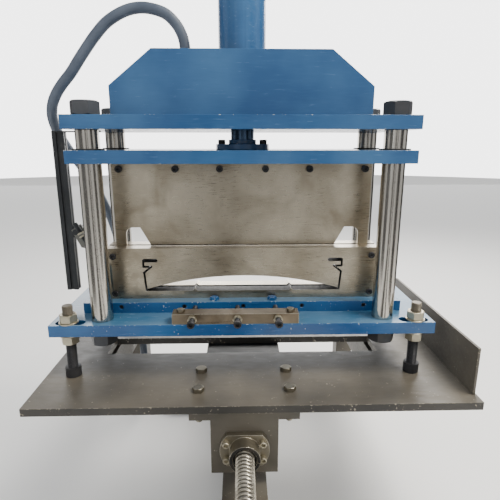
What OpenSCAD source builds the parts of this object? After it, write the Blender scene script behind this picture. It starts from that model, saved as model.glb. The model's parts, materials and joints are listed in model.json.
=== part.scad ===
/* [Bed] */
// Height of the levelling pads under the bed
pad_h = 25; // [20:1:40]
// Height of the front cross foot
foot_h = 55; // [45:1:80]
// Side of the square centre beam
beam_size = 100; // [80:1:120]
// Wall of the hollow beams
beam_wall = 5; // [3:0.5:8]
// Front end of the bed, measured from the die centre
bed_front = -500; // [-560:5:-480]
// Rear end of the bed, measured from the die centre
bed_rear = 540; // [530:5:640]
// Half width of the front foot
foot_half = 300; // [240:5:360]
// Distance from the centre line to each guide rail
rail_x = 400; // [390:1:420]
// Width of a guide rail
rail_w = 20; // [15:1:25]
// Height of a guide rail
rail_h = 20; // [15:1:24]
// Width of the side beams under the rails
side_beam_w = 60; // [50:1:70]
// Height of the side beams under the rails
side_beam_h = 92; // [80:1:95]

/* [Ball screw] */
// Thread diameter of the ball screw
screw_d = 40; // [32:1:45]
// Diameter of the bearing journals
journal_d = 30; // [25:1:34]
// Diameter of the drive journal
drive_d = 24; // [18:1:28]
// Length of the drive journal
drive_len = 45; // [35:1:60]
// Height of the screw axis above the centre beam
screw_rise = 100; // [90:1:110]
// Wall of the ball nut body around the screw
nut_wall = 13.5; // [10:0.5:18]
// How far the ball nut flange reaches past the nut body
nut_flange_reach = 20.5; // [16:0.5:25]

/* [Carriage] */
// How far the carriage plate reaches past the base plate on the left
carriage_over_left = 23; // [17:1:52]
// How far the carriage plate reaches past the base plate on the right
carriage_over_right = 66; // [52:1:92]
// Depth of the carriage plate along the screw
carriage_depth = 536; // [500:1:560]
// Thickness of the carriage plate
carriage_t = 18; // [14:1:22]
// Height from the screw axis to the carriage plate
plate_rise = 88; // [84:1:96]
// Half width of the scrap opening
opening_half = 358; // [300:1:360]
// Front edge of the scrap opening
opening_front = -24; // [-40:1:-10]
// Depth of the scrap opening
opening_depth = 91; // [80:1:100]
// Height of the side guard
guard_h = 111; // [90:1:140]
// Width of the nut bracket plate
bracket_w = 148; // [130:1:160]

/* [Die set] */
// Height from the carriage plate to the base plate
set_lift = 106; // [100:1:120]
// Width of the base plate
base_w = 896; // [860:1:1080]
// Thickness of the base plate
base_t = 28; // [24:1:34]
// Depth of the base, moving and top plates
set_depth = 298; // [290:1:310]
// Width of the top plate
top_w = 752; // [740:1:800]
// Thickness of the top plate
top_t = 29; // [24:1:35]
// Width of the moving plate
move_w = 746; // [740:1:760]
// Thickness of the moving plate
move_t = 28; // [24:1:34]
// Free height between the base plate and the top plate
daylight = 434; // [425:1:520]
// Height of the raised moving plate above the base plate
move_z = 363; // [355:1:370]
// Diameter of the guide posts
post_d = 50; // [40:1:55]
// Distance between the post rows, left to right
post_pitch_x = 668; // [660:1:680]
// Distance between the post rows, front to back
post_pitch_y = 218; // [210:1:224]
// Diameter of the threaded post ends
stud_d = 36; // [30:1:38]
// Width across flats of the post nuts
post_nut_af = 55; // [50:1:60]
// Height of the post nuts
post_nut_h = 30; // [25:1:33]

/* [Blades] */
// Half width of the lower dies
die_half = 340; // [330:1:350]
// Height of the lower dies
die_h = 155; // [150:1:162]
// Thickness of each lower die
die_t = 34; // [28:1:38]
// Thickness of the upper blade
blade_t = 10; // [8:0.5:14]
// Half width of the upper blade
blade_half = 319; // [310:1:325]
// Height of the blade's long lower edge above the base plate
blade_edge = 157; // [153:1:165]
// Height of the ends of the blade legs above the base plate
leg_end = 126; // [122:1:135]
// Working stroke of the ram
stroke = 115; // [90:1:118]

/* [Cylinder] */
// Bore of the cylinder
bore_d = 90; // [80:1:94]
// Wall of the cylinder tube
barrel_wall = 9; // [7:0.5:13]
// Length of the cylinder tube
barrel_len = 277; // [270:1:340]
// Diameter of the piston rod
rod_d = 56; // [45:1:60]
// Half width of the gusset plates at their foot
gusset_half = 290; // [260:1:300]
// Height of the gusset plates
gusset_h = 139; // [120:1:160]
// Thickness of the gusset plates
gusset_t = 20; // [15:1:22]

/* [Clearances] */
// Radial running clearance of shafts and posts
run_fit = 0.05; // [0.02:0.01:0.08]
// Radial clearance of screw shanks in their holes
screw_fit = 0.3; // [0.2:0.05:0.6]
// Side clearance between sliding flat faces
slide_gap = 0.3; // [0.2:0.05:0.5]
// Gap that keeps a nut apart from what it seats on
seat_gap = 0.02; // [0.01:0.01:0.05]

/* [Hidden] */
$fn = 48;
// Extra depth that lets a cut pass cleanly through a face
cut = 1;

// Heights of the bed, from the floor up
beam_z = pad_h + foot_h;
beam_top = beam_z + beam_size;
screw_z = beam_top + screw_rise;
plate_z = screw_z + plate_rise;
carriage_top = plate_z + carriage_t;
block_stack = 36;
side_beam_top = plate_z - block_stack;
side_beam_z = side_beam_top - side_beam_h;
cross_h = 40;
cross_z = side_beam_z - cross_h;

// Places of the bed along the screw
foot_depth = 80;
cross_depth = 60;
cross_front = -19;
rear_cross = bed_rear - cross_depth;
rail_front = -190;
rail_rear = 380;
bevel_run = 130;
bevel_tip = 12;
leg_w = 60;
leg_foot_d = 70;
foot_pad_inset = 40;

// Ball screw and its bearings
bearing_depth = 40;
bearing_half = 40;
bearing_cap = 35;
bearing_inset = 10;
thread_front = bed_front + bearing_inset + bearing_depth;
thread_rear = bed_rear - bearing_inset - bearing_depth;
journal_gap = 0.5;

// Nut bracket and ball nut
nut_d = screw_d + 2 * nut_wall;
nut_flange_d = nut_d + 2 * nut_flange_reach;
bracket_front = -259;
flange_half = 120;
flange_depth = 160;
flange_t = 22;
spine_half = 100;
spine_t = 12;
spine_rear = 240;
bracket_t = 20;
bracket_drop = 133;
nut_flange_t = 14;
nut_flange_af = 76;
nut_nose = 45;
nut_tail = 55;
nut_recess_room = 6;
nut_recess_d = screw_d + 2 * nut_recess_room;
nut_recess = 6;
nut_screw_out = 6.5;
nut_screw_x = nut_d / 2 + nut_screw_out;
nut_screw_z = 19.5;
nut_screw_d = 10;
bracket_bolt_d = 16;
bracket_bolt_x = 103;
bracket_bolt_y = [-207, -121];
bracket_bolt_af = 24;
bracket_bolt_k = 10;
bolt_poke = 36;

// Guide blocks
block_w = 60;
block_len = 80;
block_h = 30;
block_y = [-60, 190];

// Carriage and guard
carriage_left = -base_w / 2 - carriage_over_left;
carriage_right = base_w / 2 + carriage_over_right;
carriage_half = carriage_depth / 2;
guard_t = 6;
guard_inset = 4;
guard_front = -238;

// Levelling bolts of the die set, near the ends of the base plate
lev_inset = 41;
lev_x = base_w / 2 - lev_inset;
lev_y = 129;
lev_d = 24;
lev_head_d = 36;
lev_head_h = 24;
lev_reach = 43;
lev_nut_af = 36;
lev_nut_h = 19;
lev_washer_d = 44;
lev_washer_t = 3;
slot_w = lev_d + 2;
slot_len = 68;
slot_shift = 4;
slot_x = lev_x - slot_shift;

// Heights of the die set
base_z = carriage_top + set_lift;
base_top = base_z + base_t;
top_z = base_top + daylight;
top_top = top_z + top_t;
moving_z = base_top + move_z;
moving_top = moving_z + move_t;
half_depth = set_depth / 2;
post_x = post_pitch_x / 2;
post_y = post_pitch_y / 2;
stud_fit = 0.2;
stud_short = 3;

// Lower dies and what holds them
blade_gap = blade_t + 2 * slide_gap;
die_face = blade_gap / 2;
die_back = die_face + die_t;
bar_t = 33;
bar_h = 26;
bar_inset = 57;
bar_half = base_w / 2 - bar_inset;
bar_back = die_back + bar_t;
die_screw_d = 10;
die_screw_x = [-299, -145, 0, 145, 299];
die_screw_z = 15;
die_screw_inset = 3;
lug_x = 72;
lug_d = 13;
lug_h = 4;
end_screw_x = 320;
end_screw_z = [40, 135];
end_screw_d = 10;
end_head_d = 16;
end_head_h = 6;

// Profile opening in the lower dies, heights above the base plate
slit_half = 242;
slit_floor = 45;
slit_side = 50;
slit_top = 84;
slit_rise = slit_top - slit_side;
slit_r = (slit_half * slit_half + slit_rise * slit_rise) / (2 * slit_rise);
rib_x = 121;
rib_w = 12;
rib_h = 5;
lip_w = 5;
lip_points = [[242, 47], [246, 93], [228, 108], [247, 108], [247, 124], [214, 124]];
arm_h = 9;

// Upper blade outline, as offsets from its ends
leg_w_blade = 26;
notch_rise = 48;
notch_flat = 62;
notch_foot = 86;
notch_r = 18;
blade_screw_x = [-300, -164, -56, 56, 164, 300];
blade_screw_drop = 18;
blade_screw_d = 10;
blade_head_d = 17;
blade_head_h = 10;
holder_t = 30;
holder_h = 36;

// Clamp bar and its jack screws
clamp_left = -165;
clamp_right = 128;
clamp_front = -147;
clamp_depth = 34;
clamp_h = 25;
clamp_bolt_x = [-146, 110];
clamp_bolt_d = 10;
clamp_bolt_af = 17;
clamp_bolt_k = 7;
jack_x = [-118, -14, 79];
jack_z = 13;
jack_d = 12;
jack_head_d = 18;
jack_head_h = 12;
jack_back = 25;
jack_nut_af = 19;
jack_nut_h = 10;

// Cylinder and its load path
barrel_d = bore_d + 2 * barrel_wall;
gusset_gap = 6;
gusset_y = barrel_d / 2 + gusset_gap;
gusset_shoulder = 64;
gusset_top_half = 195;
rod_hole_d = rod_d + 4;
foot_plate_half = 90;
foot_plate_t = 20;
barrel_z = top_top + foot_plate_t;
barrel_top = barrel_z + barrel_len;
gland_h = 28;
cap_t = 22;
cap_spigot = 15;
port_x = 131;
port_rise = 43;
port_z = barrel_z + port_rise;
port_d = 28;
elbow_swell = 2;
port_hole_d = 12;
port_nut_af = 36;
port_nut_h = 18;
ferrule_d = 32;
ferrule_len = 44;
cap_port_rise = 250;
cap_port_stub = 12;
piston_h = 35;
piston_gap = 65;
piston_z = barrel_top - piston_gap - piston_h;
rod_end_d = 40;
rod_nut_h = 18;
rod_nut_af = 60;
rod_flange_d = 128;
rod_flange_t = 13;
rod_ring_d = 66;
rod_ring_h = 10;
flange_screw_r = 53;
flange_screw_a = [20, 160, 200, 340];
bush_wall = 6;
bush_lip = 3;
bush_lip_w = 3;

// Switch rail on the left
sw_rail_x = -437;
sw_rail_w = 28;
sw_rail_t = 20;
sw_rail_z = 40;
strap_t = 3;
strap_over = 36;
groove_w = 8;
groove_d = 8;
clamp_z = 192;
clamp_size = 28;
clamp_w = 18;
swivel_d = 8;
swivel_head_d = 14;
swivel_head_h = 6;
plate_gap = 0.5;
tri_t = 3;
sensor_d = 12;
sensor_len = 96;
sensor_tilt = 28;
sensor_nut_af = 17;
sensor_nut_h = 4;
sensor_top = 20;
tab_x = 14;
tab_z = -14;
tab_t = 4;
tab_half = 9;

// Hose: outer diameter, coil and the points that its middle follows
hose_d = 25;
hose_sides = 10;
coil_x = -205;
coil_y = 430;
coil_r = 137;
coil_turns = 2;
hose_start_z = port_z + port_d / 2 + elbow_swell + port_nut_h + ferrule_len;
// The route was laid for these two heights, and is stretched to the height of the port
hose_shape_top = 1124;
hose_shape_low = 62;
hose_shape = [[-131, 0, hose_shape_top], [-131, 0, 1142], [-136, 0, 1164], [-150, 0, 1189],
    [-176, 0, 1211], [-219, 0, 1221], [-260, 0, 1215], [-302, 0, 1193],
    [-334, 0, 1162], [-368, 0, 1120], [-394, 0, 1085], [-417, 1, 1060],
    [-436, 5, 1037], [-452, 16, 1012], [-463, 38, 984], [-467, 72, 952],
    [-463, 112, 916], [-452, 153, 874], [-436, 192, 824], [-419, 225, 768],
    [-405, 253, 704], [-395, 275, 636], [-387, 289, 566], [-379, 298, 496],
    [-367, 303, 430], [-354, 305, 366], [-345, 305, 306], [-342, 305, 248],
    [-342, 307, 190], [-342, 316, 140], [-342, 342, 99], [-342, 382, 72],
    [-342, 430, hose_shape_low]];
hose_rise = (hose_start_z - hose_shape_low) / (hose_shape_top - hose_shape_low);
hose_points = [for (p = hose_shape)
    [p[0], p[1], hose_shape_low + (p[2] - hose_shape_low) * hose_rise]];
tail_points = [[-342, 430, 13], [-342, 455, 13], [-342, 480, 14], [-342, 505, 16],
    [-342, 530, 16]];
far_nut_len = 26;

// ---------- shared shapes ----------

// A block between two corners
module slab(low, high)
    translate(low) cube(high - low);

// A round bar along Y from y0 to y1
module bar_y(r, y0, y1)
    translate([0, y0, 0]) rotate([-90, 0, 0]) cylinder(r = r, h = y1 - y0);

// A hexagonal bar along Y from y0 to y1
module hex_y(af, y0, y1)
    translate([0, y0, 0]) rotate([-90, 0, 0]) hex(af, y1 - y0);

// A hexagon across flats af, standing on the ground plane
module hex(af, h)
    cylinder(d = af / cos(30), h = h, $fn = 6);

// A nut with a plain bore, standing on the ground plane
module nut(af, h, hole_r)
    difference() {
        hex(af, h);
        translate([0, 0, -cut]) cylinder(r = hole_r, h = h + 2 * cut);
    }

// A socket head screw: head above the ground plane, shank below it
module socket_screw(d, head_d, head_h, len)
    difference() {
        union() {
            cylinder(d = head_d, h = head_h);
            translate([0, 0, -len]) cylinder(d = d, h = len + cut / 2);
        }
        translate([0, 0, head_h / 2]) hex(head_d / 2, head_h);
    }

// A hexagon bolt: head above the ground plane, shank below it
module hex_bolt(d, af, head_h, len) {
    hex(af, head_h);
    translate([0, 0, -len]) cylinder(d = d, h = len + cut / 2);
}

// Places its children at the four posts
module at_posts()
    for (x = [-post_x, post_x], y = [-post_y, post_y]) translate([x, y, 0]) children();

// Places its children at the four levelling bolts
module at_levelling()
    for (x = [-lev_x, lev_x], y = [-lev_y, lev_y]) translate([x, y, 0]) children();

// A straight cut of width w between two points of a flat outline
module stroke(a, b, w) {
    run = b - a;
    translate(a) rotate(atan2(run[1], run[0])) translate([-w / 2, -w / 2])
        square([norm(run) + w, w]);
}

// Unit vector, and the direction of a route at point i
function unit(v) = v / norm(v);
function heading(p, i) = unit(p[min(i + 1, len(p) - 1)] - p[max(i - 1, 0)]);

// Side directions along a route, each turned as little as possible from the last
function sides_from(p, i, n) =
    i == len(p) ? [] :
    let (t = heading(p, i), m = unit(n - (n * t) * t))
    concat([m], sides_from(p, i + 1, m));

// A tube of radius r with its middle on the points p; across is not along its start
module tube(p, r, sides, across) {
    side = sides_from(p, 0, across);
    rings = [for (i = [0:len(p) - 1]) let (m = side[i], b = cross(heading(p, i), m))
        for (k = [0:sides - 1]) p[i] + r * (cos(k * 360 / sides) * m + sin(k * 360 / sides) * b)];
    last = (len(p) - 1) * sides;
    walls = [for (i = [0:len(p) - 2], k = [0:sides - 1])
        [i * sides + k, i * sides + (k + 1) % sides,
            (i + 1) * sides + (k + 1) % sides, (i + 1) * sides + k]];
    start_face = [[for (k = [sides - 1:-1:0]) k]];
    end_face = [[for (k = [0:sides - 1]) last + k]];
    polyhedron(points = rings, faces = [for (f = concat(start_face, walls, end_face))
        [for (j = [len(f) - 1:-1:0]) f[j]]]);
}

// ---------- bed ----------

// Square tube under the ball screw
module centre_beam() {
    half = beam_size / 2;
    color([0.30, 0.29, 0.27])
        difference() {
            slab([-half, bed_front, beam_z], [half, bed_rear, beam_top]);
            slab([-half + beam_wall, bed_front - cut, beam_z + beam_wall],
                [half - beam_wall, bed_rear + cut, beam_top - beam_wall]);
        }
}

// Wide foot under the front end of the centre beam, and a block under its middle
module bed_feet()
    color([0.30, 0.29, 0.27]) {
        slab([-foot_half, bed_front, pad_h], [foot_half, bed_front + foot_depth, beam_z]);
        slab([-leg_w / 2, -leg_w / 2, pad_h], [leg_w / 2, leg_w / 2, beam_z]);
    }

// Two beams across the bed, each on a short pedestal
module cross_members() {
    reach = rail_x + side_beam_w / 2;
    half = beam_size / 2;
    color([0.30, 0.29, 0.27])
        for (y = [cross_front, rear_cross]) {
            slab([-reach, y, cross_z], [reach, y + cross_depth, side_beam_z]);
            slab([-half, y, beam_top], [half, y + cross_depth, cross_z]);
        }
}

// Side view of a rail beam, with its bevelled front end
module beam_side(inset) {
    tip = bevel_tip + inset;
    polygon([[rail_front, side_beam_top - inset], [rail_front, side_beam_top - tip],
        [rail_front + bevel_run, side_beam_z + inset], [bed_rear, side_beam_z + inset],
        [bed_rear, side_beam_top - inset]]);
}

// Hollow beams that carry the guide rails
module side_beams() {
    half = side_beam_w / 2;
    color([0.30, 0.29, 0.27])
        for (x = [-rail_x, rail_x]) translate([x, 0, 0])
            difference() {
                translate([half, 0, 0]) rotate([90, 0, 90]) mirror([0, 0, 1])
                    linear_extrude(side_beam_w) beam_side(0);
                slab([-half + beam_wall, rail_front + bevel_run, side_beam_z + beam_wall],
                    [half - beam_wall, bed_rear + cut, side_beam_top - beam_wall]);
            }
}

// Legs under the ends of the rear cross member
module rear_legs()
    color([0.30, 0.29, 0.27])
        for (x = [-rail_x, rail_x]) translate([x - leg_w / 2, rear_cross, pad_h])
            cube([leg_w, cross_depth, cross_z - pad_h]);

// Round pads that stand on the floor
module levelling_feet() {
    front_y = bed_front + foot_depth / 2;
    rear_y = rear_cross + cross_depth / 2;
    front_x = foot_half - foot_pad_inset;
    color([0.16, 0.16, 0.17])
        for (p = [[-front_x, front_y], [front_x, front_y], [0, 0],
            [-rail_x, rear_y], [rail_x, rear_y]])
            translate(p) {
                cylinder(d = leg_foot_d, h = pad_h / 2);
                cylinder(d = leg_foot_d / 2, h = pad_h);
            }
}

// Linear guide rails on the side beams
module guide_rails()
    color([0.70, 0.70, 0.70])
        for (x = [-rail_x, rail_x]) translate([x - rail_w / 2, rail_front, side_beam_top])
            cube([rail_w, rail_rear - rail_front, rail_h]);

// Pillow block of the ball screw, standing on a face at height z0
module bearing_block(y0, z0)
    difference() {
        slab([-bearing_half, y0, z0],
            [bearing_half, y0 + bearing_depth, screw_z + bearing_cap]);
        translate([0, 0, screw_z])
            bar_y(journal_d / 2 + run_fit, y0 - cut, y0 + bearing_depth + cut);
    }

// Bearings at both ends of the ball screw
module screw_bearings()
    color([0.20, 0.20, 0.22]) {
        bearing_block(bed_front + bearing_inset, beam_top);
        bearing_block(thread_rear, side_beam_z);
    }

// Ball screw with its journals and drive end
module ball_screw()
    color([0.66, 0.63, 0.56])
        translate([0, 0, screw_z]) {
            bar_y(screw_d / 2, thread_front + journal_gap, thread_rear - journal_gap);
            bar_y(journal_d / 2, bed_front + bearing_inset, bed_rear - bearing_inset);
            bar_y(drive_d / 2, bed_rear - bearing_inset, bed_rear - bearing_inset + drive_len);
        }

// ---------- carriage ----------

// Plate that carries the die set, with its scrap opening
module carriage_plate()
    color([0.40, 0.38, 0.34])
        difference() {
            slab([carriage_left, -carriage_half, plate_z],
                [carriage_right, carriage_half, carriage_top]);
            slab([-opening_half, opening_front, plate_z - cut],
                [opening_half, opening_front + opening_depth, carriage_top + cut]);
            bracket_bolt_holes(bracket_bolt_d / 2 + screw_fit);
        }

// Upright plate at the right edge of the carriage
module side_guard()
    color([0.42, 0.38, 0.33])
        slab([carriage_right - guard_inset - guard_t, guard_front, carriage_top],
            [carriage_right - guard_inset, carriage_half, carriage_top + guard_h]);

// Strip under the carriage plate that bridges the scrap opening
module centre_spine()
    color([0.13, 0.13, 0.13])
        slab([-spine_half, bracket_front + flange_depth, plate_z - spine_t],
            [spine_half, spine_rear, plate_z]);

// Holes of the four bolts that hold the nut bracket
module bracket_bolt_holes(r)
    for (x = [-bracket_bolt_x, bracket_bolt_x], y = bracket_bolt_y)
        translate([x, y, plate_z - flange_t - cut])
            cylinder(r = r, h = flange_t + carriage_t + 2 * cut);

// Bolts through the carriage plate into the nut bracket
module bracket_bolts()
    color([0.22, 0.21, 0.19])
        for (x = [-bracket_bolt_x, bracket_bolt_x], y = bracket_bolt_y)
            translate([x, y, carriage_top])
                hex_bolt(bracket_bolt_d, bracket_bolt_af, bracket_bolt_k,
                    carriage_t + flange_t + bolt_poke);

// Flange and upright plate that hold the ball nut
module nut_bracket() {
    flange_z = plate_z - flange_t;
    half = bracket_w / 2;
    color([0.38, 0.36, 0.31])
        difference() {
            union() {
                slab([-flange_half, bracket_front, flange_z],
                    [flange_half, bracket_front + flange_depth, plate_z]);
                slab([-half, bracket_front, flange_z - bracket_drop],
                    [half, bracket_front + bracket_t, flange_z]);
            }
            bracket_bolt_holes(bracket_bolt_d / 2 + screw_fit);
            translate([0, 0, screw_z])
                bar_y(nut_d / 2 + screw_fit, bracket_front - cut, bracket_front + bracket_t + cut);
            nut_screw_places(bracket_front + bracket_t + cut, nut_screw_d / 2 + screw_fit,
                nut_flange_t + bracket_t + 2 * cut);
        }
}

// Bars along Y at the four nut screws, ending at y1
module nut_screw_places(y1, r, h)
    for (x = [-nut_screw_x, nut_screw_x], z = [-nut_screw_z, nut_screw_z])
        translate([x, 0, screw_z + z]) bar_y(r, y1 - h, y1);

// Ball nut with its flattened flange
module ball_nut() {
    face = bracket_front - nut_flange_t;
    tip = bracket_front - nut_nose;
    color([0.42, 0.40, 0.35])
        difference() {
            translate([0, 0, screw_z]) {
                bar_y(nut_d / 2, tip, bracket_front + nut_tail);
                intersection() {
                    bar_y(nut_flange_d / 2, face, bracket_front);
                    slab([-nut_flange_d, face, -nut_flange_af / 2],
                        [nut_flange_d, bracket_front, nut_flange_af / 2]);
                }
            }
            translate([0, 0, screw_z]) {
                bar_y(screw_d / 2 + run_fit, tip - cut, bracket_front + nut_tail + cut);
                bar_y(nut_recess_d / 2, tip - cut, tip + nut_recess);
            }
            nut_screw_places(bracket_front + cut, nut_screw_d / 2 + screw_fit,
                nut_flange_t + 2 * cut);
        }
}

// Socket screws through the nut flange
module nut_screws()
    color([0.55, 0.52, 0.46])
        for (x = [-nut_screw_x, nut_screw_x], z = [-nut_screw_z, nut_screw_z])
            translate([x, bracket_front - nut_flange_t, screw_z + z]) rotate([90, 0, 0])
                socket_screw(nut_screw_d, nut_screw_d * 1.5, nut_screw_d, nut_flange_t + bracket_t);

// Runner blocks that ride on the guide rails
module guide_blocks() {
    half = rail_w / 2 + slide_gap;
    color([0.35, 0.36, 0.38])
        for (x = [-rail_x, rail_x], y = block_y) translate([x, y, 0])
            difference() {
                slab([-block_w / 2, -block_len / 2, plate_z - block_h],
                    [block_w / 2, block_len / 2, plate_z]);
                slab([-half, -block_len / 2 - cut, plate_z - block_h - cut],
                    [half, block_len / 2 + cut, side_beam_top + rail_h + slide_gap]);
            }
}

// ---------- levelling of the die set ----------

// Socket screws standing on their heads on the carriage
module levelling_bolts()
    color([0.12, 0.12, 0.13])
        at_levelling() translate([0, 0, carriage_top + lev_head_h]) mirror([0, 0, 1])
            socket_screw(lev_d, lev_head_d, lev_head_h,
                set_lift + base_t + lev_reach - lev_head_h);

// Nuts and washers above and below the base plate
module levelling_nuts() {
    hole = lev_d / 2 + screw_fit;
    color([0.66, 0.62, 0.50])
        at_levelling() {
            washer_at(base_top, hole);
            translate([0, 0, base_top + lev_washer_t + seat_gap])
                nut(lev_nut_af, lev_nut_h, hole);
            washer_at(base_z - lev_washer_t, hole);
            translate([0, 0, base_z - lev_washer_t - lev_nut_h - seat_gap])
                nut(lev_nut_af, lev_nut_h, hole);
        }
}

// Washer of a levelling bolt at height z
module washer_at(z, hole_r)
    translate([0, 0, z])
        difference() {
            cylinder(d = lev_washer_d, h = lev_washer_t);
            translate([0, 0, -cut]) cylinder(r = hole_r, h = lev_washer_t + 2 * cut);
        }

// ---------- die set ----------

// Lower plate of the die set, with slots for the levelling bolts
module base_plate()
    color([0.16, 0.38, 0.60])
        difference() {
            slab([-base_w / 2, -half_depth, base_z], [base_w / 2, half_depth, base_top]);
            at_posts() translate([0, 0, base_z - cut])
                cylinder(d = stud_d + 2 * stud_fit, h = base_t + 2 * cut);
            for (side = [-1, 1], y = [-lev_y, lev_y]) translate([side * slot_x, y, base_z - cut])
                slot(slot_len, slot_w, base_t + 2 * cut);
            for (x = clamp_bolt_x) translate([x, clamp_front + clamp_depth / 2, base_z - cut])
                cylinder(d = clamp_bolt_d + 2 * screw_fit, h = base_t + 2 * cut);
        }

// A round-ended slot along X, centred on the origin
module slot(len, w, h) {
    reach = (len - w) / 2;
    for (x = [-reach, reach]) translate([x, 0, 0]) cylinder(d = w, h = h);
    translate([-reach, -w / 2, 0]) cube([2 * reach, w, h]);
}

// One guide post: chrome body with a threaded stud at each end
module post(x, y) {
    low = base_z - post_nut_h + stud_short;
    high = top_top + post_nut_h - stud_short;
    color([0.78, 0.78, 0.76])
        translate([x, y, 0]) {
            translate([0, 0, base_top]) cylinder(d = post_d, h = daylight);
            translate([0, 0, low]) cylinder(d = stud_d, h = base_top - low + cut / 2);
            translate([0, 0, top_z - cut / 2]) cylinder(d = stud_d, h = high - top_z + cut / 2);
        }
}

module post_front_left() post(-post_x, -post_y);
module post_front_right() post(post_x, -post_y);
module post_rear_left() post(-post_x, post_y);
module post_rear_right() post(post_x, post_y);

// Nuts on top of the guide posts
module post_top_nuts()
    color([0.20, 0.21, 0.22])
        at_posts() translate([0, 0, top_top]) nut(post_nut_af, post_nut_h, stud_d / 2 + stud_fit);

// Nuts under the guide posts
module post_bottom_nuts()
    color([0.20, 0.21, 0.22])
        at_posts() translate([0, 0, base_z - post_nut_h])
            nut(post_nut_af, post_nut_h, stud_d / 2 + stud_fit);

// Bar that holds a lower die, drilled for the clamping screws
module holder_bar(side)
    color([0.16, 0.38, 0.60])
        scale([1, side, 1])
            difference() {
                union() {
                    slab([-bar_half, die_back, base_top], [bar_half, bar_back, base_top + bar_h]);
                    for (x = [-lug_x, lug_x])
                        translate([x, die_back + bar_t / 2, base_top + bar_h - cut / 2])
                            cylinder(d = lug_d, h = lug_h + cut / 2);
                }
                for (x = die_screw_x) translate([x, 0, base_top + die_screw_z])
                    bar_y(die_screw_d / 2 + screw_fit, die_back - cut, bar_back + cut);
            }

module holder_bar_front() holder_bar(-1);
module holder_bar_rear() holder_bar(1);

// Set screws in the holder bars and head screws at the ends of the dies
module die_screws()
    color([0.12, 0.12, 0.13])
        for (side = [-1, 1]) scale([1, side, 1]) {
            for (x = die_screw_x) translate([x, 0, base_top + die_screw_z])
                bar_y(die_screw_d / 2, die_back, bar_back - die_screw_inset);
            for (x = [-end_screw_x, end_screw_x], z = end_screw_z)
                translate([x, die_back, base_top + z]) rotate([-90, 0, 0])
                    socket_screw(end_screw_d, end_head_d, end_head_h, die_t / 2);
        }

// Flat outline of the profile opening, heights above the base plate
module profile_opening() {
    intersection() {
        translate([0, slit_top - slit_r]) circle(r = slit_r, $fn = 360);
        translate([-slit_half, slit_floor]) square([2 * slit_half, slit_top]);
    }
    for (side = [-1, 1]) scale([side, 1]) {
        for (i = [0:len(lip_points) - 2]) stroke(lip_points[i], lip_points[i + 1], lip_w);
        end = lip_points[len(lip_points) - 1];
        translate([end[0], end[1] - arm_h / 2]) square([slit_half - end[0] + lip_w, arm_h]);
    }
}

// Ribs that stand up from the floor of the opening
module opening_ribs()
    for (x = [-rib_x, rib_x]) translate([x, slit_floor])
        polygon([[-rib_w / 2, 0], [0, rib_h], [rib_w / 2, 0]]);

// A lower die with the profile opening cut through it
module lower_die(side)
    color([0.60, 0.57, 0.50])
        scale([1, side, 1])
            difference() {
                translate([0, die_back, base_top]) rotate([90, 0, 0]) linear_extrude(die_t)
                    difference() {
                        translate([-die_half, 0]) square([2 * die_half, die_h]);
                        difference() {
                            profile_opening();
                            opening_ribs();
                        }
                    }
                for (x = [-end_screw_x, end_screw_x], z = end_screw_z)
                    translate([x, 0, base_top + z])
                        bar_y(end_screw_d / 2 + screw_fit, die_back - die_t / 2 - cut,
                            die_back + cut);
            }

module lower_die_front() lower_die(-1);
module lower_die_rear() lower_die(1);

// Steel bar bolted to the front of the base plate
module clamp_bar()
    color([0.38, 0.32, 0.27])
        difference() {
            slab([clamp_left, clamp_front, base_top],
                [clamp_right, clamp_front + clamp_depth, base_top + clamp_h]);
            for (x = jack_x) translate([x, 0, base_top + jack_z])
                bar_y(jack_d / 2 + run_fit, clamp_front - cut, clamp_front + clamp_depth + cut);
            for (x = clamp_bolt_x) translate([x, clamp_front + clamp_depth / 2, base_top - cut])
                cylinder(d = clamp_bolt_d + 2 * screw_fit, h = clamp_h + 2 * cut);
        }

// Hexagon bolts that hold the clamp bar
module clamp_bar_bolts()
    color([0.45, 0.40, 0.33])
        for (x = clamp_bolt_x)
            translate([x, clamp_front + clamp_depth / 2, base_top + clamp_h])
                hex_bolt(clamp_bolt_d, clamp_bolt_af, clamp_bolt_k, clamp_h + base_t);

// Lock nuts of the jack screws
module jack_lock_nuts()
    color([0.66, 0.62, 0.50])
        for (x = jack_x) translate([x, 0, base_top + jack_z])
            difference() {
                hex_y(jack_nut_af, clamp_front - jack_nut_h, clamp_front);
                bar_y(jack_d / 2 + run_fit, clamp_front - jack_nut_h - cut, clamp_front + cut);
            }

// One jack screw, which pushes on the front holder bar
module jack_screw(x) {
    head_y = clamp_front - jack_back;
    color([0.14, 0.14, 0.15])
        translate([x, head_y, base_top + jack_z]) rotate([90, 0, 0])
            socket_screw(jack_d, jack_head_d, jack_head_h, -bar_back - slide_gap - head_y);
}

module jack_screw_left() jack_screw(jack_x[0]);
module jack_screw_centre() jack_screw(jack_x[1]);
module jack_screw_right() jack_screw(jack_x[2]);

// ---------- head ----------

// Fixed upper plate of the die set
module top_plate()
    color([0.22, 0.43, 0.64])
        difference() {
            slab([-top_w / 2, -half_depth, top_z], [top_w / 2, half_depth, top_top]);
            at_posts() translate([0, 0, top_z - cut])
                cylinder(d = stud_d + 2 * stud_fit, h = top_t + 2 * cut);
            translate([0, 0, top_z - cut]) cylinder(d = rod_hole_d, h = top_t + 2 * cut);
        }

// Upright plate with bevelled shoulders that stiffens the head
module gusset(y0)
    color([0.22, 0.43, 0.64])
        translate([0, y0 + gusset_t, top_top]) rotate([90, 0, 0]) linear_extrude(gusset_t)
            polygon([[-gusset_half, 0], [gusset_half, 0], [gusset_half, gusset_shoulder],
                [gusset_top_half, gusset_h], [-gusset_top_half, gusset_h],
                [-gusset_half, gusset_shoulder]]);

module gusset_front() gusset(-gusset_y - gusset_t);
module gusset_rear() gusset(gusset_y);

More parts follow.
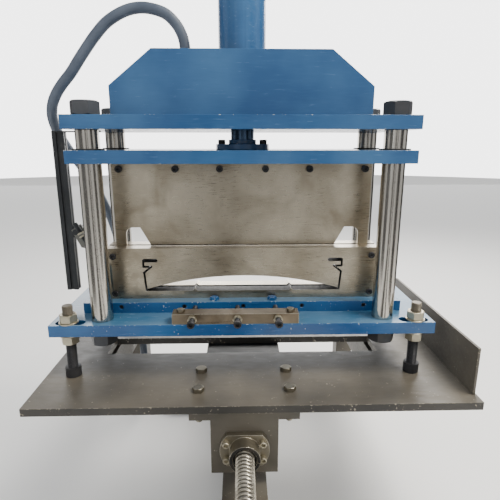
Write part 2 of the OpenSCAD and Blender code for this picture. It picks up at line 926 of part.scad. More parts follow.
// Cylinder tube on its foot plate
module cylinder_barrel()
    color([0.16, 0.38, 0.60])
        difference() {
            union() {
                slab([-foot_plate_half, -gusset_y, top_top],
                    [foot_plate_half, gusset_y, barrel_z]);
                translate([0, 0, barrel_z - cut]) cylinder(d = barrel_d, h = barrel_len + cut);
                translate([0, 0, barrel_z + cap_port_rise]) rotate([0, 90, 0])
                    cylinder(d = port_d, h = barrel_d / 2 + cap_port_stub);
            }
            translate([0, 0, top_top - cut]) cylinder(d = rod_hole_d, h = foot_plate_t + 2 * cut);
            translate([0, 0, barrel_z]) cylinder(d = bore_d, h = barrel_len + cut);
            translate([0, 0, port_z]) rotate([0, -90, 0])
                cylinder(d = port_d + 2 * run_fit, h = barrel_d);
            translate([0, 0, barrel_z + cap_port_rise]) rotate([0, 90, 0])
                cylinder(d = port_hole_d, h = barrel_d);
        }

// Gland that guides the piston rod
module cylinder_gland()
    color([0.45, 0.45, 0.46])
        translate([0, 0, barrel_z])
            difference() {
                cylinder(d = bore_d - 2 * run_fit, h = gland_h);
                translate([0, 0, -cut]) cylinder(r = rod_d / 2 + run_fit, h = gland_h + 2 * cut);
            }

// Cover that closes the top of the cylinder
module cylinder_cap()
    color([0.16, 0.38, 0.60])
        translate([0, 0, barrel_top]) {
            cylinder(d = barrel_d, h = cap_t);
            translate([0, 0, -cap_spigot]) cylinder(d = bore_d - 2 * run_fit, h = cap_spigot + cut);
        }

// Elbow from the rod side port up to the hose
module port_elbow() {
    wall_x = bore_d / 2 + 2;
    half = port_d / 2 + elbow_swell;
    color([0.30, 0.31, 0.33])
        difference() {
            translate([0, 0, port_z]) {
                translate([-wall_x, 0, 0]) rotate([0, -90, 0])
                    cylinder(d = port_d, h = port_x - wall_x);
                slab([-port_x - half, -half, -half], [-port_x + half, half, half]);
                translate([-port_x, 0, half]) hex(port_nut_af, port_nut_h);
            }
            translate([-wall_x + cut, 0, port_z]) rotate([0, -90, 0])
                cylinder(d = port_hole_d, h = port_x - wall_x);
        }
}

// ---------- ram ----------

// Chromed rod between the rod flange and the piston
module piston_rod() {
    low = moving_top + rod_flange_t;
    color([0.20, 0.24, 0.32])
        union() {
            translate([0, 0, low]) cylinder(d = rod_d, h = piston_z - low);
            translate([0, 0, piston_z - cut / 2])
                cylinder(d = rod_end_d, h = piston_h + rod_nut_h + cut / 2);
        }
}

// Piston and the nut that holds it on the rod
module piston() {
    hole = rod_end_d / 2 + run_fit;
    color([0.50, 0.50, 0.50]) {
        translate([0, 0, piston_z])
            difference() {
                cylinder(d = bore_d - 2 * run_fit, h = piston_h);
                translate([0, 0, -cut]) cylinder(r = hole, h = piston_h + 2 * cut);
            }
        translate([0, 0, piston_z + piston_h + seat_gap])
            nut(rod_nut_af, rod_nut_h - seat_gap, hole);
    }
}

// Places its children at the screws of the rod flange
module at_flange_screws()
    for (a = flange_screw_a)
        translate([flange_screw_r * cos(a), flange_screw_r * sin(a), 0]) children();

// Round flange that joins the rod to the moving plate
module rod_flange()
    color([0.16, 0.38, 0.60])
        difference() {
            union() {
                translate([0, 0, moving_top]) cylinder(d = rod_flange_d, h = rod_flange_t);
                translate([0, 0, moving_top]) cylinder(d = rod_ring_d, h = rod_flange_t + rod_ring_h);
            }
            translate([0, 0, moving_top + rod_flange_t])
                cylinder(r = rod_d / 2 + run_fit, h = rod_ring_h + cut);
            at_flange_screws() translate([0, 0, moving_top - cut])
                cylinder(d = nut_screw_d + 2 * screw_fit, h = rod_flange_t + 2 * cut);
        }

// Socket screws of the rod flange
module flange_screws()
    color([0.14, 0.14, 0.15])
        at_flange_screws() translate([0, 0, moving_top + rod_flange_t])
            socket_screw(nut_screw_d, nut_screw_d * 1.6, nut_screw_d, rod_flange_t + move_t / 2);

// Plate that the ram moves on the guide posts
module moving_plate()
    color([0.16, 0.38, 0.60])
        difference() {
            slab([-move_w / 2, -half_depth, moving_z], [move_w / 2, half_depth, moving_top]);
            at_posts() translate([0, 0, moving_z - cut])
                cylinder(r = post_d / 2 + run_fit + bush_wall, h = move_t + 2 * cut);
            at_flange_screws() translate([0, 0, moving_top - move_t / 2 - cut])
                cylinder(d = nut_screw_d + 2 * screw_fit, h = move_t / 2 + 2 * cut);
        }

// Guide bushes pressed into the moving plate
module guide_bushes() {
    bore = post_d / 2 + run_fit;
    color([0.45, 0.36, 0.22])
        at_posts() translate([0, 0, moving_z])
            difference() {
                union() {
                    cylinder(r = bore + bush_wall, h = move_t + bush_lip);
                    translate([0, 0, move_t])
                        cylinder(r = bore + bush_wall + bush_lip_w, h = bush_lip);
                }
                translate([0, 0, -cut]) cylinder(r = bore, h = move_t + bush_lip + 2 * cut);
            }
}

// Flat outline of the notch beside a blade leg
module blade_notch() {
    leg_in = blade_half - leg_w_blade;
    flat_z = leg_end + 75;
    round_x = leg_in - notch_r;
    polygon([[blade_half - notch_foot, blade_edge], [blade_half - notch_flat, flat_z],
        [round_x, flat_z], [round_x, flat_z - notch_r], [leg_in, flat_z - notch_r],
        [leg_in, leg_end - cut], [blade_half - notch_foot, leg_end - cut]]);
    translate([round_x, flat_z - notch_r]) circle(r = notch_r);
}

// Upper blade, which slides down between the lower dies
module upper_blade() {
    middle = blade_half - notch_foot;
    color([0.60, 0.57, 0.50])
        difference() {
            translate([0, blade_t / 2, base_top]) rotate([90, 0, 0]) linear_extrude(blade_t)
                difference() {
                    translate([-blade_half, leg_end]) square([2 * blade_half, move_z - leg_end]);
                    translate([-middle - cut, leg_end - cut])
                        square([2 * middle + 2 * cut, blade_edge - leg_end + cut]);
                    for (side = [-1, 1]) scale([side, 1]) blade_notch();
                }
            at_blade_screws() rotate([0, 0, 0])
                bar_y(blade_screw_d / 2 + screw_fit, -cut, blade_t + cut);
        }
}

// Places its children at the blade screws, on the front face of the blade
module at_blade_screws()
    for (x = blade_screw_x) translate([x, -blade_t / 2, moving_z - blade_screw_drop]) children();

// Bar behind the blade that hangs from the moving plate
module blade_holder()
    color([0.16, 0.38, 0.60])
        difference() {
            slab([-blade_half, blade_t / 2, moving_z - holder_h],
                [blade_half, blade_t / 2 + holder_t, moving_z]);
            at_blade_screws() bar_y(blade_screw_d / 2 + screw_fit, 0, blade_t + holder_t / 2);
        }

// Socket screws through the blade into its holder
module blade_screws()
    color([0.10, 0.10, 0.12])
        at_blade_screws() rotate([90, 0, 0])
            socket_screw(blade_screw_d, blade_head_d, blade_head_h, blade_t + holder_t / 2 - cut);

// ---------- switch rail ----------

// Cross-section of the slotted rail
module rail_section()
    difference() {
        square([sw_rail_w, sw_rail_t], center = true);
        for (side = [-1, 1]) {
            translate([-groove_w / 2, side * sw_rail_t / 2 - groove_d / 2])
                square([groove_w, groove_d]);
            translate([side * sw_rail_w / 2 - groove_d / 2, -groove_w / 4])
                square([groove_d, groove_w / 2]);
        }
    }

// Slotted rail and the strap that hangs it from the top plate
module switch_rail() {
    rail_top = top_z - strap_t;
    color([0.12, 0.13, 0.14]) {
        translate([sw_rail_x, 0, base_top + sw_rail_z])
            linear_extrude(rail_top - base_top - sw_rail_z) rail_section();
        slab([sw_rail_x - sw_rail_w / 2, -sw_rail_t / 2, rail_top],
            [-top_w / 2 + strap_over, sw_rail_t / 2, top_z]);
    }
}

// Block that slides on the rail and carries the swivel pin
module switch_clamp() {
    inner_x = sw_rail_x + sw_rail_w / 2 + slide_gap;
    pin_x = inner_x + clamp_w / 2;
    key = groove_d / 2 - slide_gap;
    color([0.30, 0.30, 0.28]) {
        translate([inner_x, -sw_rail_t / 2, base_top + clamp_z - clamp_size / 2])
            cube([clamp_w, sw_rail_t, clamp_size]);
        translate([inner_x - key, -groove_w / 4 + slide_gap, base_top + clamp_z - clamp_size / 2])
            cube([key + cut / 2, groove_w / 2 - 2 * slide_gap, clamp_size]);
        translate([pin_x, 0, base_top + clamp_z])
            bar_y(swivel_d / 2, -sw_rail_t / 2 - tri_t - 2 * plate_gap, 0);
        translate([pin_x, 0, base_top + clamp_z])
            bar_y(swivel_head_d / 2, -sw_rail_t / 2 - tri_t - 2 * plate_gap - swivel_head_h,
                -sw_rail_t / 2 - tri_t - 2 * plate_gap);
    }
}

// Moves its children to the swivel pin of the sensor, tilted as the sensor hangs
module at_swivel() {
    pin_x = sw_rail_x + sw_rail_w / 2 + slide_gap + clamp_w / 2;
    translate([pin_x, 0, base_top + clamp_z]) rotate([0, -sensor_tilt, 0]) children();
}

// Triangular plate that swivels on the clamp
module sensor_bracket() {
    back = -sw_rail_t / 2 - plate_gap;
    reach = sensor_d;
    color([0.42, 0.43, 0.42])
        at_swivel() {
            difference() {
                translate([0, back, 0]) rotate([90, 0, 0]) linear_extrude(tri_t)
                    polygon([[-8, 9], [20, 12], [20, -14], [-2, -46], [-10, -40]]);
                bar_y(swivel_d / 2 + run_fit, back - tri_t - cut, back + cut);
            }
            difference() {
                slab([tab_x - tab_half, back - tri_t - 2 * reach, tab_z],
                    [tab_x + tab_half, back, tab_z + tab_t]);
                translate([tab_x, back - tri_t - reach, tab_z - cut])
                    cylinder(r = sensor_d / 2 + screw_fit, h = tab_t + 2 * cut);
            }
        }
}

// Threaded proximity sensor with its two nuts
module prox_sensor() {
    back = -sw_rail_t / 2 - plate_gap - tri_t;
    reach = sensor_d;
    color([0.13, 0.13, 0.13])
        at_swivel() translate([tab_x, back - reach, 0]) {
            translate([0, 0, sensor_top - sensor_len]) cylinder(d = sensor_d, h = sensor_len);
            for (z = [tab_z + tab_t, tab_z - sensor_nut_h]) translate([0, 0, z])
                nut(sensor_nut_af, sensor_nut_h, sensor_d / 2 + run_fit);
        }
}

// ---------- hose ----------

// The stretches of hose that are not coiled
module hose_tube()
    color([0.40, 0.44, 0.47]) {
        tube(hose_points, hose_d / 2, hose_sides, [0, 1, 0]);
        tube(tail_points, hose_d / 2, hose_sides, [0, 0, 1]);
    }

// Outer shape of the coiled hose on the floor
module hose_coil()
    color([0.40, 0.44, 0.47])
        translate([coil_x, coil_y, 0]) rotate_extrude()
            translate([coil_r - hose_d / 2, 0]) square([hose_d, hose_d * (coil_turns + 1)]);

// Crimped ferrules at both ends of the hose, and the nut at the free end
module hose_ferrules() {
    tail = tail_points[len(tail_points) - 1];
    color([0.55, 0.55, 0.53]) {
        translate([-port_x, 0, hose_start_z - ferrule_len])
            cylinder(d = ferrule_d, h = ferrule_len);
        translate([tail[0], 0, tail[2]])
            bar_y(ferrule_d / 2, tail[1], tail[1] + ferrule_len);
        translate([tail[0], 0, tail[2] + 2])
            hex_y(port_nut_af, tail[1] + ferrule_len, tail[1] + ferrule_len + far_nut_len);
    }
}

centre_beam();
bed_feet();
cross_members();
side_beams();
rear_legs();
levelling_feet();
guide_rails();
screw_bearings();
ball_screw();
carriage_plate();
side_guard();
centre_spine();
nut_bracket();
ball_nut();
nut_screws();
bracket_bolts();
guide_blocks();
levelling_bolts();
levelling_nuts();
base_plate();
post_front_left();
post_front_right();
post_rear_left();
post_rear_right();
post_top_nuts();
post_bottom_nuts();
holder_bar_front();
holder_bar_rear();
die_screws();
lower_die_front();
lower_die_rear();
clamp_bar();
clamp_bar_bolts();
jack_lock_nuts();
jack_screw_left();
jack_screw_centre();
jack_screw_right();
top_plate();
gusset_front();
gusset_rear();
cylinder_barrel();
cylinder_gland();
cylinder_cap();
port_elbow();
piston_rod();
piston();
rod_flange();
flange_screws();
moving_plate();
guide_bushes();
upper_blade();
blade_holder();
blade_screws();
switch_rail();
switch_clamp();
sensor_bracket();
prox_sensor();
hose_tube();
hose_coil();
hose_ferrules();
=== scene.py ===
# %% [markdown]
# # A hydraulic cut-off press on its ball-screw carriage
# The press stands at the end of a roll-forming line. A strip runs through the slot in the
# lower dies, the carriage keeps up with it, and a hydraulic cylinder drives the blade down.
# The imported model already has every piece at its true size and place. This lesson gives
# each piece its finish: rounded edges, threads, chamfers, paint, ground steel and chrome.

# %% Load the frame and keep its box
import json
import math

import bmesh
import bpy
import numpy as np
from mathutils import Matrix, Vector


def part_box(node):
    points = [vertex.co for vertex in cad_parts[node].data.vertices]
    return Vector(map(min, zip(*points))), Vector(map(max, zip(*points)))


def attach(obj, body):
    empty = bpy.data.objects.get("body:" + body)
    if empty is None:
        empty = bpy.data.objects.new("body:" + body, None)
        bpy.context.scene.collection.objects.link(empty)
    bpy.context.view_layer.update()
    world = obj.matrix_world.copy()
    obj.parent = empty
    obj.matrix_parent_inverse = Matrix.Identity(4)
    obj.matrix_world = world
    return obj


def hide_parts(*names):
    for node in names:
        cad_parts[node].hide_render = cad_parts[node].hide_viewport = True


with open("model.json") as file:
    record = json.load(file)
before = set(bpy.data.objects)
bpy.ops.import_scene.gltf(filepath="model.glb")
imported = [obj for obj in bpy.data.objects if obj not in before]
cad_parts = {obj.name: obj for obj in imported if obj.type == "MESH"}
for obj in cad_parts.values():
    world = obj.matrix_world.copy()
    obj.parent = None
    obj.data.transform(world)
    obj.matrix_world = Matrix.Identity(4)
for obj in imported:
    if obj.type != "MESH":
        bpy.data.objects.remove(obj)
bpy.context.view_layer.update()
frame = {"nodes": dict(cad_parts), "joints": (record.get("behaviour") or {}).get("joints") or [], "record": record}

scene = bpy.context.scene
MM = 0.001

# %% [markdown]
# ## Camera
# A press is looked at from the operator's side, a little above the die set. A wide lens
# stands close to the machine, so the plates show both their front edge and their top.

# %% Camera
CAMERA_PLACE = (-0.0088, -1.079, 0.924)
CAMERA_DOWN = 13.75
CAMERA_RIGHT = 1.44
LENS_MM, FILM_MM = 31.2, 36

camera_data = bpy.data.cameras.new("camera")
camera_data.lens = LENS_MM
camera_data.sensor_width = FILM_MM
camera = bpy.data.objects.new("camera", camera_data)
scene.collection.objects.link(camera)
camera.location = CAMERA_PLACE
camera.rotation_euler = (math.radians(90 - CAMERA_DOWN), 0, math.radians(-CAMERA_RIGHT))
scene.camera = camera

# %% [markdown]
# ## A mesh from a grid
# Most machine parts are rings of points stacked along an axis: a nut, a screw, a post or a
# hose. One helper turns a stack of rings into a closed mesh, with quads between one ring
# and the next and a flat face on each end. A stack that ends where it began is a loop, as
# in a nut, whose bore joins its two faces.

# %% Rings to a mesh
SHARP_DEGREES = 25
BODY_OF = {n: b for b, nodes in frame["record"]["behaviour"]["bodies"].items() for n in nodes}


def ring_faces(count, around, start, loop):
    """Quads (k, i), (k, i+1), (k+1, i+1), (k+1, i) for all rings k and places i at once."""
    k = np.arange(count if loop else count - 1)[:, None]
    i = np.arange(around)[None, :]
    ahead, above = (i + 1) % around, (k + 1) % count
    corners = [k * around + i, k * around + ahead, above * around + ahead, above * around + i]
    quads = (np.stack(corners, axis=-1).reshape(-1, 4) + start).tolist()
    if not loop:
        quads.append((np.arange(around)[::-1] + start).tolist())
        quads.append((np.arange(around) + start + (count - 1) * around).tolist())
    return quads


def make_mesh(name, stacks, loop=False):
    """One mesh from several closed stacks of rings; a stack has the shape (rings, around, 3)."""
    points, faces = [], []
    start = 0
    for stack in stacks:
        faces += ring_faces(stack.shape[0], stack.shape[1], start, loop)
        points.append(stack.reshape(-1, 3))
        start += stack.shape[0] * stack.shape[1]
    mesh = bpy.data.meshes.new(name)
    mesh.from_pydata(np.concatenate(points).tolist(), [], faces)
    work = bmesh.new()
    work.from_mesh(mesh)
    bmesh.ops.recalc_face_normals(work, faces=work.faces)
    work.to_mesh(mesh)
    work.free()
    smooth_shade(mesh)
    return mesh


def smooth_shade(mesh):
    """Smooth shading, with edges steeper than SHARP_DEGREES kept crisp."""
    mesh.polygons.foreach_set("use_smooth", np.ones(len(mesh.polygons), bool))
    mesh.set_sharp_from_angle(angle=math.radians(SHARP_DEGREES))


def add_piece(name, mesh, finish, body, replaced=()):
    """Puts a mesh into the scene with its finish, its body and what it replaces."""
    piece = bpy.data.objects.new(name, mesh)
    scene.collection.objects.link(piece)
    mesh.materials.clear()
    for one in finish if isinstance(finish, (list, tuple)) else [finish]:
        mesh.materials.append(one)
    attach(piece, body)
    if replaced:
        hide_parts(*replaced)
    return piece


def finish_node(node, stacks, finish, loop=False):
    """The piece that stands for a whole node, on the node's own body."""
    return add_piece("finished_" + node, make_mesh(node, stacks, loop), finish, BODY_OF[node],
                     (node,))


def faces_of(mesh, what):
    """One row for each face of a mesh: its "center" or its "normal"."""
    values = np.empty(len(mesh.polygons) * 3)
    mesh.polygons.foreach_get(what, values)
    return values.reshape(-1, 3)


# %% [markdown]
# ## Where the screws are
# A node can hold several equal solids, such as four nuts. Their places are read from the
# frame: each point takes the lowest label of the triangles it belongs to, until no label
# changes, and the points that share a label are one solid.

# %% Boxes of the separate solids
WELD = 1e-5


def solids(node):
    """(low, high) corners of each separate solid of a node, sorted by x, then z, then y."""
    mesh = frame["nodes"][node].data
    places = np.empty(len(mesh.vertices) * 3)
    mesh.vertices.foreach_get("co", places)
    cells, same = np.unique(np.round(places.reshape(-1, 3) / WELD).astype(int), axis=0,
                            return_inverse=True)
    corners = np.empty(len(mesh.loops), int)
    mesh.loops.foreach_get("vertex_index", corners)
    triangles = same.ravel()[corners].reshape(-1, 3)
    label = np.arange(len(cells))
    while True:
        lower = label.copy()
        np.minimum.at(lower, triangles.ravel(), np.repeat(label[triangles].min(axis=1), 3))
        if (lower == label).all():
            break
        label = lower
    boxes = [(cells[label == one].min(0) * WELD, cells[label == one].max(0) * WELD)
             for one in np.unique(label)]
    return sorted(boxes, key=lambda box: (round(box[0][0], 3), round(box[0][2], 3), box[0][1]))


def middle(box):
    """Middle of a (low, high) box."""
    return (np.array(box[0]) + np.array(box[1])) / 2


# %% [markdown]
# ## Turned and milled shapes
# A turned part is a profile of (radius, height) steps carried round the Z axis. Where the
# radius is not one number but a function of the angle, the same stack gives hexagons,
# knurls and sockets. Parts are shaped along Z and then turned to point where they belong.

# %% Turned shapes
AROUND = 72


def angles(around=AROUND):
    """The angles of the points round a ring."""
    return np.linspace(0, 2 * np.pi, around, endpoint=False)


def hexagon(flats):
    """Radius of a hexagon with a corner at angle 0: half the flats over the cosine of the
    angle to the nearest flat's middle."""
    return flats / 2 / np.cos(angles() % (np.pi / 3) - np.pi / 6)


def turned(profile, around=AROUND):
    """Point (k, a) is (r_k(a) cos a, r_k(a) sin a, z_k(a)) for each step (r_k, z_k)."""
    a = angles(around)
    return np.array([np.stack([r * np.cos(a), r * np.sin(a), z + 0 * a], axis=-1)
                     for r, z in profile])


TURNS = {
    "up": np.array([[1, 0, 0], [0, 1, 0], [0, 0, 1]]),
    "down": np.array([[1, 0, 0], [0, -1, 0], [0, 0, -1]]),
    "front": np.array([[1, 0, 0], [0, 0, -1], [0, 1, 0]]),
    "back": np.array([[1, 0, 0], [0, 0, 1], [0, -1, 0]]),
}


def placed(stack, at, way="up"):
    """A stack shaped along Z, turned to point up, down, to the front or to the back."""
    return stack @ TURNS[way].T + np.array(at)


def knurl(radius, depth, count):
    """Radius of a knurled rim: the radius less a cosine wave with count ridges."""
    return radius - depth * (0.5 - 0.5 * np.cos(count * angles()))


CONE_SLOPE = math.tan(math.radians(30))
CONE_CIRCLE = 0.95      # its radius, as a share of half the flats


def nut(flats, height, bore, lead_in=1 * MM):
    """A hexagon nut whose corners are turned away by a 30 degree cone on both faces: on the
    cone, the height falls by the radius past the cone's circle times the slope."""
    hexa = hexagon(flats)
    circle = flats / 2 * CONE_CIRCLE
    fall = (hexa - circle) * CONE_SLOPE
    return turned([(hexa, fall), (hexa, height - fall), (circle, height),
                   (bore + lead_in, height), (bore, height - lead_in),
                   (bore, lead_in), (bore + lead_in, 0), (circle, 0)])


def washer(outer, thickness, bore, edge=0.4 * MM):
    """A flat ring with a small chamfer on its outer rims."""
    return turned([(outer - edge, 0), (outer, edge), (outer, thickness - edge),
                   (outer - edge, thickness), (bore, thickness), (bore, 0)])


def threaded(radius, pitch, low, high, depth, around=32, steps=6, flat=0.12):
    """Rings of a screw thread: the radius falls by depth with the distance from the crest,
    and the crest climbs by one pitch a turn. Both ends are chamfered down to the root."""
    rise = np.arange(low, high + pitch / steps / 2, pitch / steps)
    a = angles(around)
    phase = (rise[:, None] / pitch - a[None, :] / (2 * np.pi)) % 1
    away = np.clip((np.abs(phase - 0.5) - flat) / (0.5 - flat), 0, 1)
    r = radius - depth * away
    root = radius - depth
    near = np.minimum(rise - low, high - rise)[:, None]
    r = np.minimum(r, root + near)
    return np.stack([r * np.cos(a), r * np.sin(a), rise[:, None] + 0 * a], axis=-1)


KNURL_DEPTH, WELL_CHAMFER, SEAT_EDGE = 0.35 * MM, 0.5 * MM, 0.3 * MM
WELL_FLOOR, WELL_TAPER = 0.45, 0.97     # height of the floor and width there, as shares


def socket_head(radius, height, socket, ridges, edge=1 * MM):
    """Steps of a socket screw's head, from the socket's floor over the rim to its seat."""
    rim = knurl(radius, KNURL_DEPTH, ridges)
    well = hexagon(socket)
    return [(well * WELL_TAPER, height * WELL_FLOOR), (well, height - WELL_CHAMFER),
            (well + WELL_CHAMFER, height), (radius - edge, height), (rim, height - edge),
            (rim, SEAT_EDGE), (radius - edge, 0)]


def socket_screw(radius, head_r, head_h, length):
    """A socket screw with its seat at Z 0, its head above and its shank below."""
    head = socket_head(head_r, head_h, head_r, ridges=24)
    return turned(head + [(radius, 0), (radius, -length + 1 * MM), (radius - 1 * MM, -length)])


def hex_screw(radius, flats, head_h, length):
    """A hexagon bolt: chamfered head on a round bearing face, and a chamfered shank."""
    hexa = hexagon(flats)
    circle = flats / 2 * CONE_CIRCLE
    fall = (hexa - circle) * CONE_SLOPE
    point = 1.5 * MM
    return turned([(circle, head_h), (hexa, head_h - fall), (hexa, 0.4 * MM),
                   (circle, SEAT_EDGE), (circle, 0), (radius, 0), (radius, -length + point),
                   (radius - point, -length)])


# %% [markdown]
# ## Finishes
# Each finish is a small node tree. Noise that is stretched along one direction gives brush
# strokes and grinding lines, wide noise gives clouds and stains, and noise that is cut off
# sharply gives chips and specks. The same masks drive colour, roughness and a little bump,
# so that a chip is a small dent in the paint and not a print on it.

# %% Node helpers


def add(tree, kind, inputs=None, **settings):
    """A node with its settings, and its inputs linked or set."""
    made = tree.nodes.new(kind)
    for key, value in settings.items():
        setattr(made, key, value)
    for key, value in (inputs or {}).items():
        if isinstance(value, bpy.types.NodeSocket):
            tree.links.new(value, made.inputs[key])
        else:
            made.inputs[key].default_value = value
    return made


def grain(tree, size, detail=3, stretch=(1, 1, 1), shift=0, warp=0):
    """Noise on object coordinates; size is the grain in metres before stretching."""
    where = add(tree, "ShaderNodeTexCoord").outputs["Object"]
    moved = add(tree, "ShaderNodeMapping",
                {"Vector": where, "Scale": stretch, "Location": (shift, shift * 0.7, shift * 1.3)})
    return add(tree, "ShaderNodeTexNoise", {"Vector": moved.outputs[0], "Scale": 1 / size,
                                            "Detail": detail, "Distortion": warp}).outputs[0]


def between(tree, value, low, high, out_low=0.0, out_high=1.0):
    """Maps low..high of a value onto out_low..out_high, held at both ends."""
    return add(tree, "ShaderNodeMapRange",
               {"Value": value, "From Min": low, "From Max": high, "To Min": out_low,
                "To Max": out_high}).outputs[0]


def mixed(tree, share, first, second):
    """A colour between two others."""
    made = add(tree, "ShaderNodeMix", {0: share}, data_type="RGBA")
    for place, value in ((6, first), (7, second)):
        if isinstance(value, bpy.types.NodeSocket):
            tree.links.new(value, made.inputs[place])
        else:
            made.inputs[place].default_value = (*value, 1)
    return made.outputs[2]


def maths(tree, way, first, second):
    """A sum, product or other Math step of two values."""
    return add(tree, "ShaderNodeMath", {0: first, 1: second}, operation=way).outputs[0]


def bumped(tree, shader, height, distance, strength=1.0):
    """Lets a height in 0..1 move the shading normal by a distance in metres."""
    bump = add(tree, "ShaderNodeBump", {"Height": height, "Distance": distance,
                                        "Strength": strength})
    tree.links.new(bump.outputs[0], shader.inputs["Normal"])


def blank(name, metallic, roughness=None):
    """A new material with its constants set on the shader's own sockets."""
    material = bpy.data.materials.new(name)
    material.use_nodes = True
    shader = material.node_tree.nodes["Principled BSDF"]
    shader.inputs["Metallic"].default_value = metallic
    if roughness is not None:
        shader.inputs["Roughness"].default_value = roughness
    return material, material.node_tree, shader


# %% [markdown]
# ### Paint
# The plates were painted with a brush, so the paint shows strokes, thin places and small
# chips down to the primer. The chips gather on the edges: the bevel that rounds an edge
# gets a second copy of the paint with more wear. Level plates get a paler blue on their
# tops, which is painted sky light, and the carriage's front faces get a near-black paint,
# which is painted shade.

# %% Paint


def paint(name, deep, pale, bare, wear=0.0, strokes=(1.2, 12, 12), rough=(0.15, 0.28), peel=0.5):
    """Brushed paint: clouds and strokes between two shades, and chips where two noises meet."""
    material, tree, shader = blank(name, 0.0)
    clouds = grain(tree, 0.16, 3, shift=3)
    lines = grain(tree, 0.05, 4, stretch=strokes, warp=0.3)
    shade = mixed(tree, between(tree, clouds, 0.35, 0.65), deep, pale)
    shade = mixed(tree, between(tree, lines, 0.5, 0.72, 0.0, 0.25), shade, pale)
    shade = mixed(tree, between(tree, lines, 0.28, 0.45, 0.2, 0.0), shade, deep)
    specks = between(tree, grain(tree, 0.006, 5, shift=8), 0.67 - wear, 0.70 - wear)
    patches = between(tree, grain(tree, 0.045, 2, shift=5), 0.47 - wear, 0.6 - wear)
    chips = maths(tree, "MULTIPLY", specks, patches)
    tree.links.new(mixed(tree, chips, shade, bare), shader.inputs["Base Color"])
    tree.links.new(between(tree, lines, 0.3, 0.7, *rough), shader.inputs["Roughness"])
    skin = grain(tree, 0.003, 2, shift=2)
    height = maths(tree, "ADD", maths(tree, "MULTIPLY", lines, 0.7),
                   maths(tree, "MULTIPLY", skin, 0.3 * peel))
    bumped(tree, shader, maths(tree, "SUBTRACT", height, chips), 0.1 * MM, 0.4)
    return material


BLUE_DEEP, BLUE_PALE, PRIMER = (0.006, 0.055, 0.17), (0.018, 0.100, 0.25), (0.42, 0.46, 0.46)
HEAD_DEEP, HEAD_PALE = (0.012, 0.062, 0.165), (0.035, 0.110, 0.235)
BED_DEEP, BED_PALE, BED_BARE = (0.052, 0.046, 0.036), (0.105, 0.092, 0.070), (0.30, 0.26, 0.20)
blue_paint = paint("blue_paint", BLUE_DEEP, BLUE_PALE, PRIMER, wear=-0.01)
blue_edge = paint("blue_paint_edge", BLUE_DEEP, BLUE_PALE, PRIMER, wear=0.08)
head_paint = paint("head_paint", HEAD_DEEP, HEAD_PALE, PRIMER, wear=-0.08)
head_edge = paint("head_paint_edge", HEAD_DEEP, HEAD_PALE, PRIMER, wear=0.05)
bed_paint = paint("bed_paint", BED_DEEP, BED_PALE, BED_BARE, strokes=(2, 6, 6),
                  rough=(0.36, 0.55))
bed_edge = paint("bed_paint_edge", BED_DEEP, BED_PALE, BED_BARE, wear=0.13, rough=(0.36, 0.55))
# A paler blue for level faces: painted sky light on the tops of the plates.
skylit_top_blue = paint("skylit_top_blue", (0.040, 0.125, 0.225), (0.12, 0.22, 0.32), PRIMER, wear=-0.03)
# Near-black paint for the carriage's front faces: painted shade.
bed_front_shade_paint = paint("bed_front_shade_paint", (0.018, 0.017, 0.015), (0.042, 0.038, 0.032), BED_BARE,
                        wear=0.03, strokes=(4, 4, 14), rough=(0.4, 0.6))
dark_paint = paint("dark_paint", (0.012, 0.012, 0.013), (0.035, 0.034, 0.032), (0.15, 0.14, 0.12),
                   rough=(0.45, 0.65))

# %% [markdown]
# ### Bare, ground and turned steel
# Grinding leaves straight lines along the travel of the wheel, a lathe leaves rings round
# the part, and both are only noise stretched in the right direction. Hand oil and weather
# leave wide warm stains on top.

# %% Steel


def steel(name, dark, light, stain, lines, rough, stains=0.5, depth=0.05, metallic=1.0):
    """Machined metal: fine stretched lines, wide clouds, and stains cut from two noises."""
    material, tree, shader = blank(name, metallic)
    marks = grain(tree, 0.03, 5, stretch=lines)
    clouds = grain(tree, 0.11, 3, shift=4, warp=0.6)
    shade = mixed(tree, between(tree, clouds, 0.35, 0.68), dark, light)
    shade = mixed(tree, between(tree, marks, 0.3, 0.7, 0.0, 0.22), shade, light)
    spots = maths(tree, "MULTIPLY", between(tree, grain(tree, 0.035, 5, shift=6), 0.5, 0.72),
                  between(tree, grain(tree, 0.2, 1, shift=9), 0.4, 0.62))
    spots = maths(tree, "MULTIPLY", spots, stains)
    tree.links.new(mixed(tree, spots, shade, stain), shader.inputs["Base Color"])
    worn = maths(tree, "ADD", between(tree, marks, 0.3, 0.7, *rough),
                 maths(tree, "MULTIPLY", spots, 0.25))
    tree.links.new(worn, shader.inputs["Roughness"])
    bumped(tree, shader, marks, depth * MM, 0.6)
    return material


RUST = (0.16, 0.095, 0.05)
ground_steel = steel("ground_steel", (0.29, 0.25, 0.185), (0.55, 0.495, 0.395),
                     (0.19, 0.145, 0.09), (1, 30, 24), (0.24, 0.36), stains=0.45, depth=0.01)
# Lighter steel for the rounded edges of the dies: a painted highlight along the edges.
ground_edge_highlight = steel("ground_steel_edge_highlight", (0.5, 0.47, 0.42), (0.7, 0.67, 0.6), RUST,
                    (1, 30, 24), (0.3, 0.45), stains=0.3, depth=0.01)
rail_steel = steel("rail_steel", (0.45, 0.45, 0.44), (0.62, 0.62, 0.60), RUST, (40, 1, 40),
                   (0.22, 0.36), stains=0.3)
screw_steel = steel("screw_steel", (0.36, 0.33, 0.27), (0.62, 0.58, 0.49), (0.15, 0.12, 0.08),
                    (8, 30, 8), (0.24, 0.4), stains=0.5)
nut_steel = steel("nut_steel", (0.20, 0.18, 0.14), (0.34, 0.31, 0.24), (0.10, 0.08, 0.05),
                  (8, 30, 8), (0.34, 0.5), stains=0.6)
zinc_plate = steel("zinc_plate", (0.42, 0.385, 0.29), (0.66, 0.61, 0.48), (0.26, 0.22, 0.15),
                   (9, 9, 9), (0.32, 0.5), stains=0.7)
brown_steel = steel("brown_steel", (0.15, 0.12, 0.085), (0.36, 0.30, 0.215), RUST, (3, 14, 14),
                    (0.34, 0.5), stains=0.7, depth=0.02)
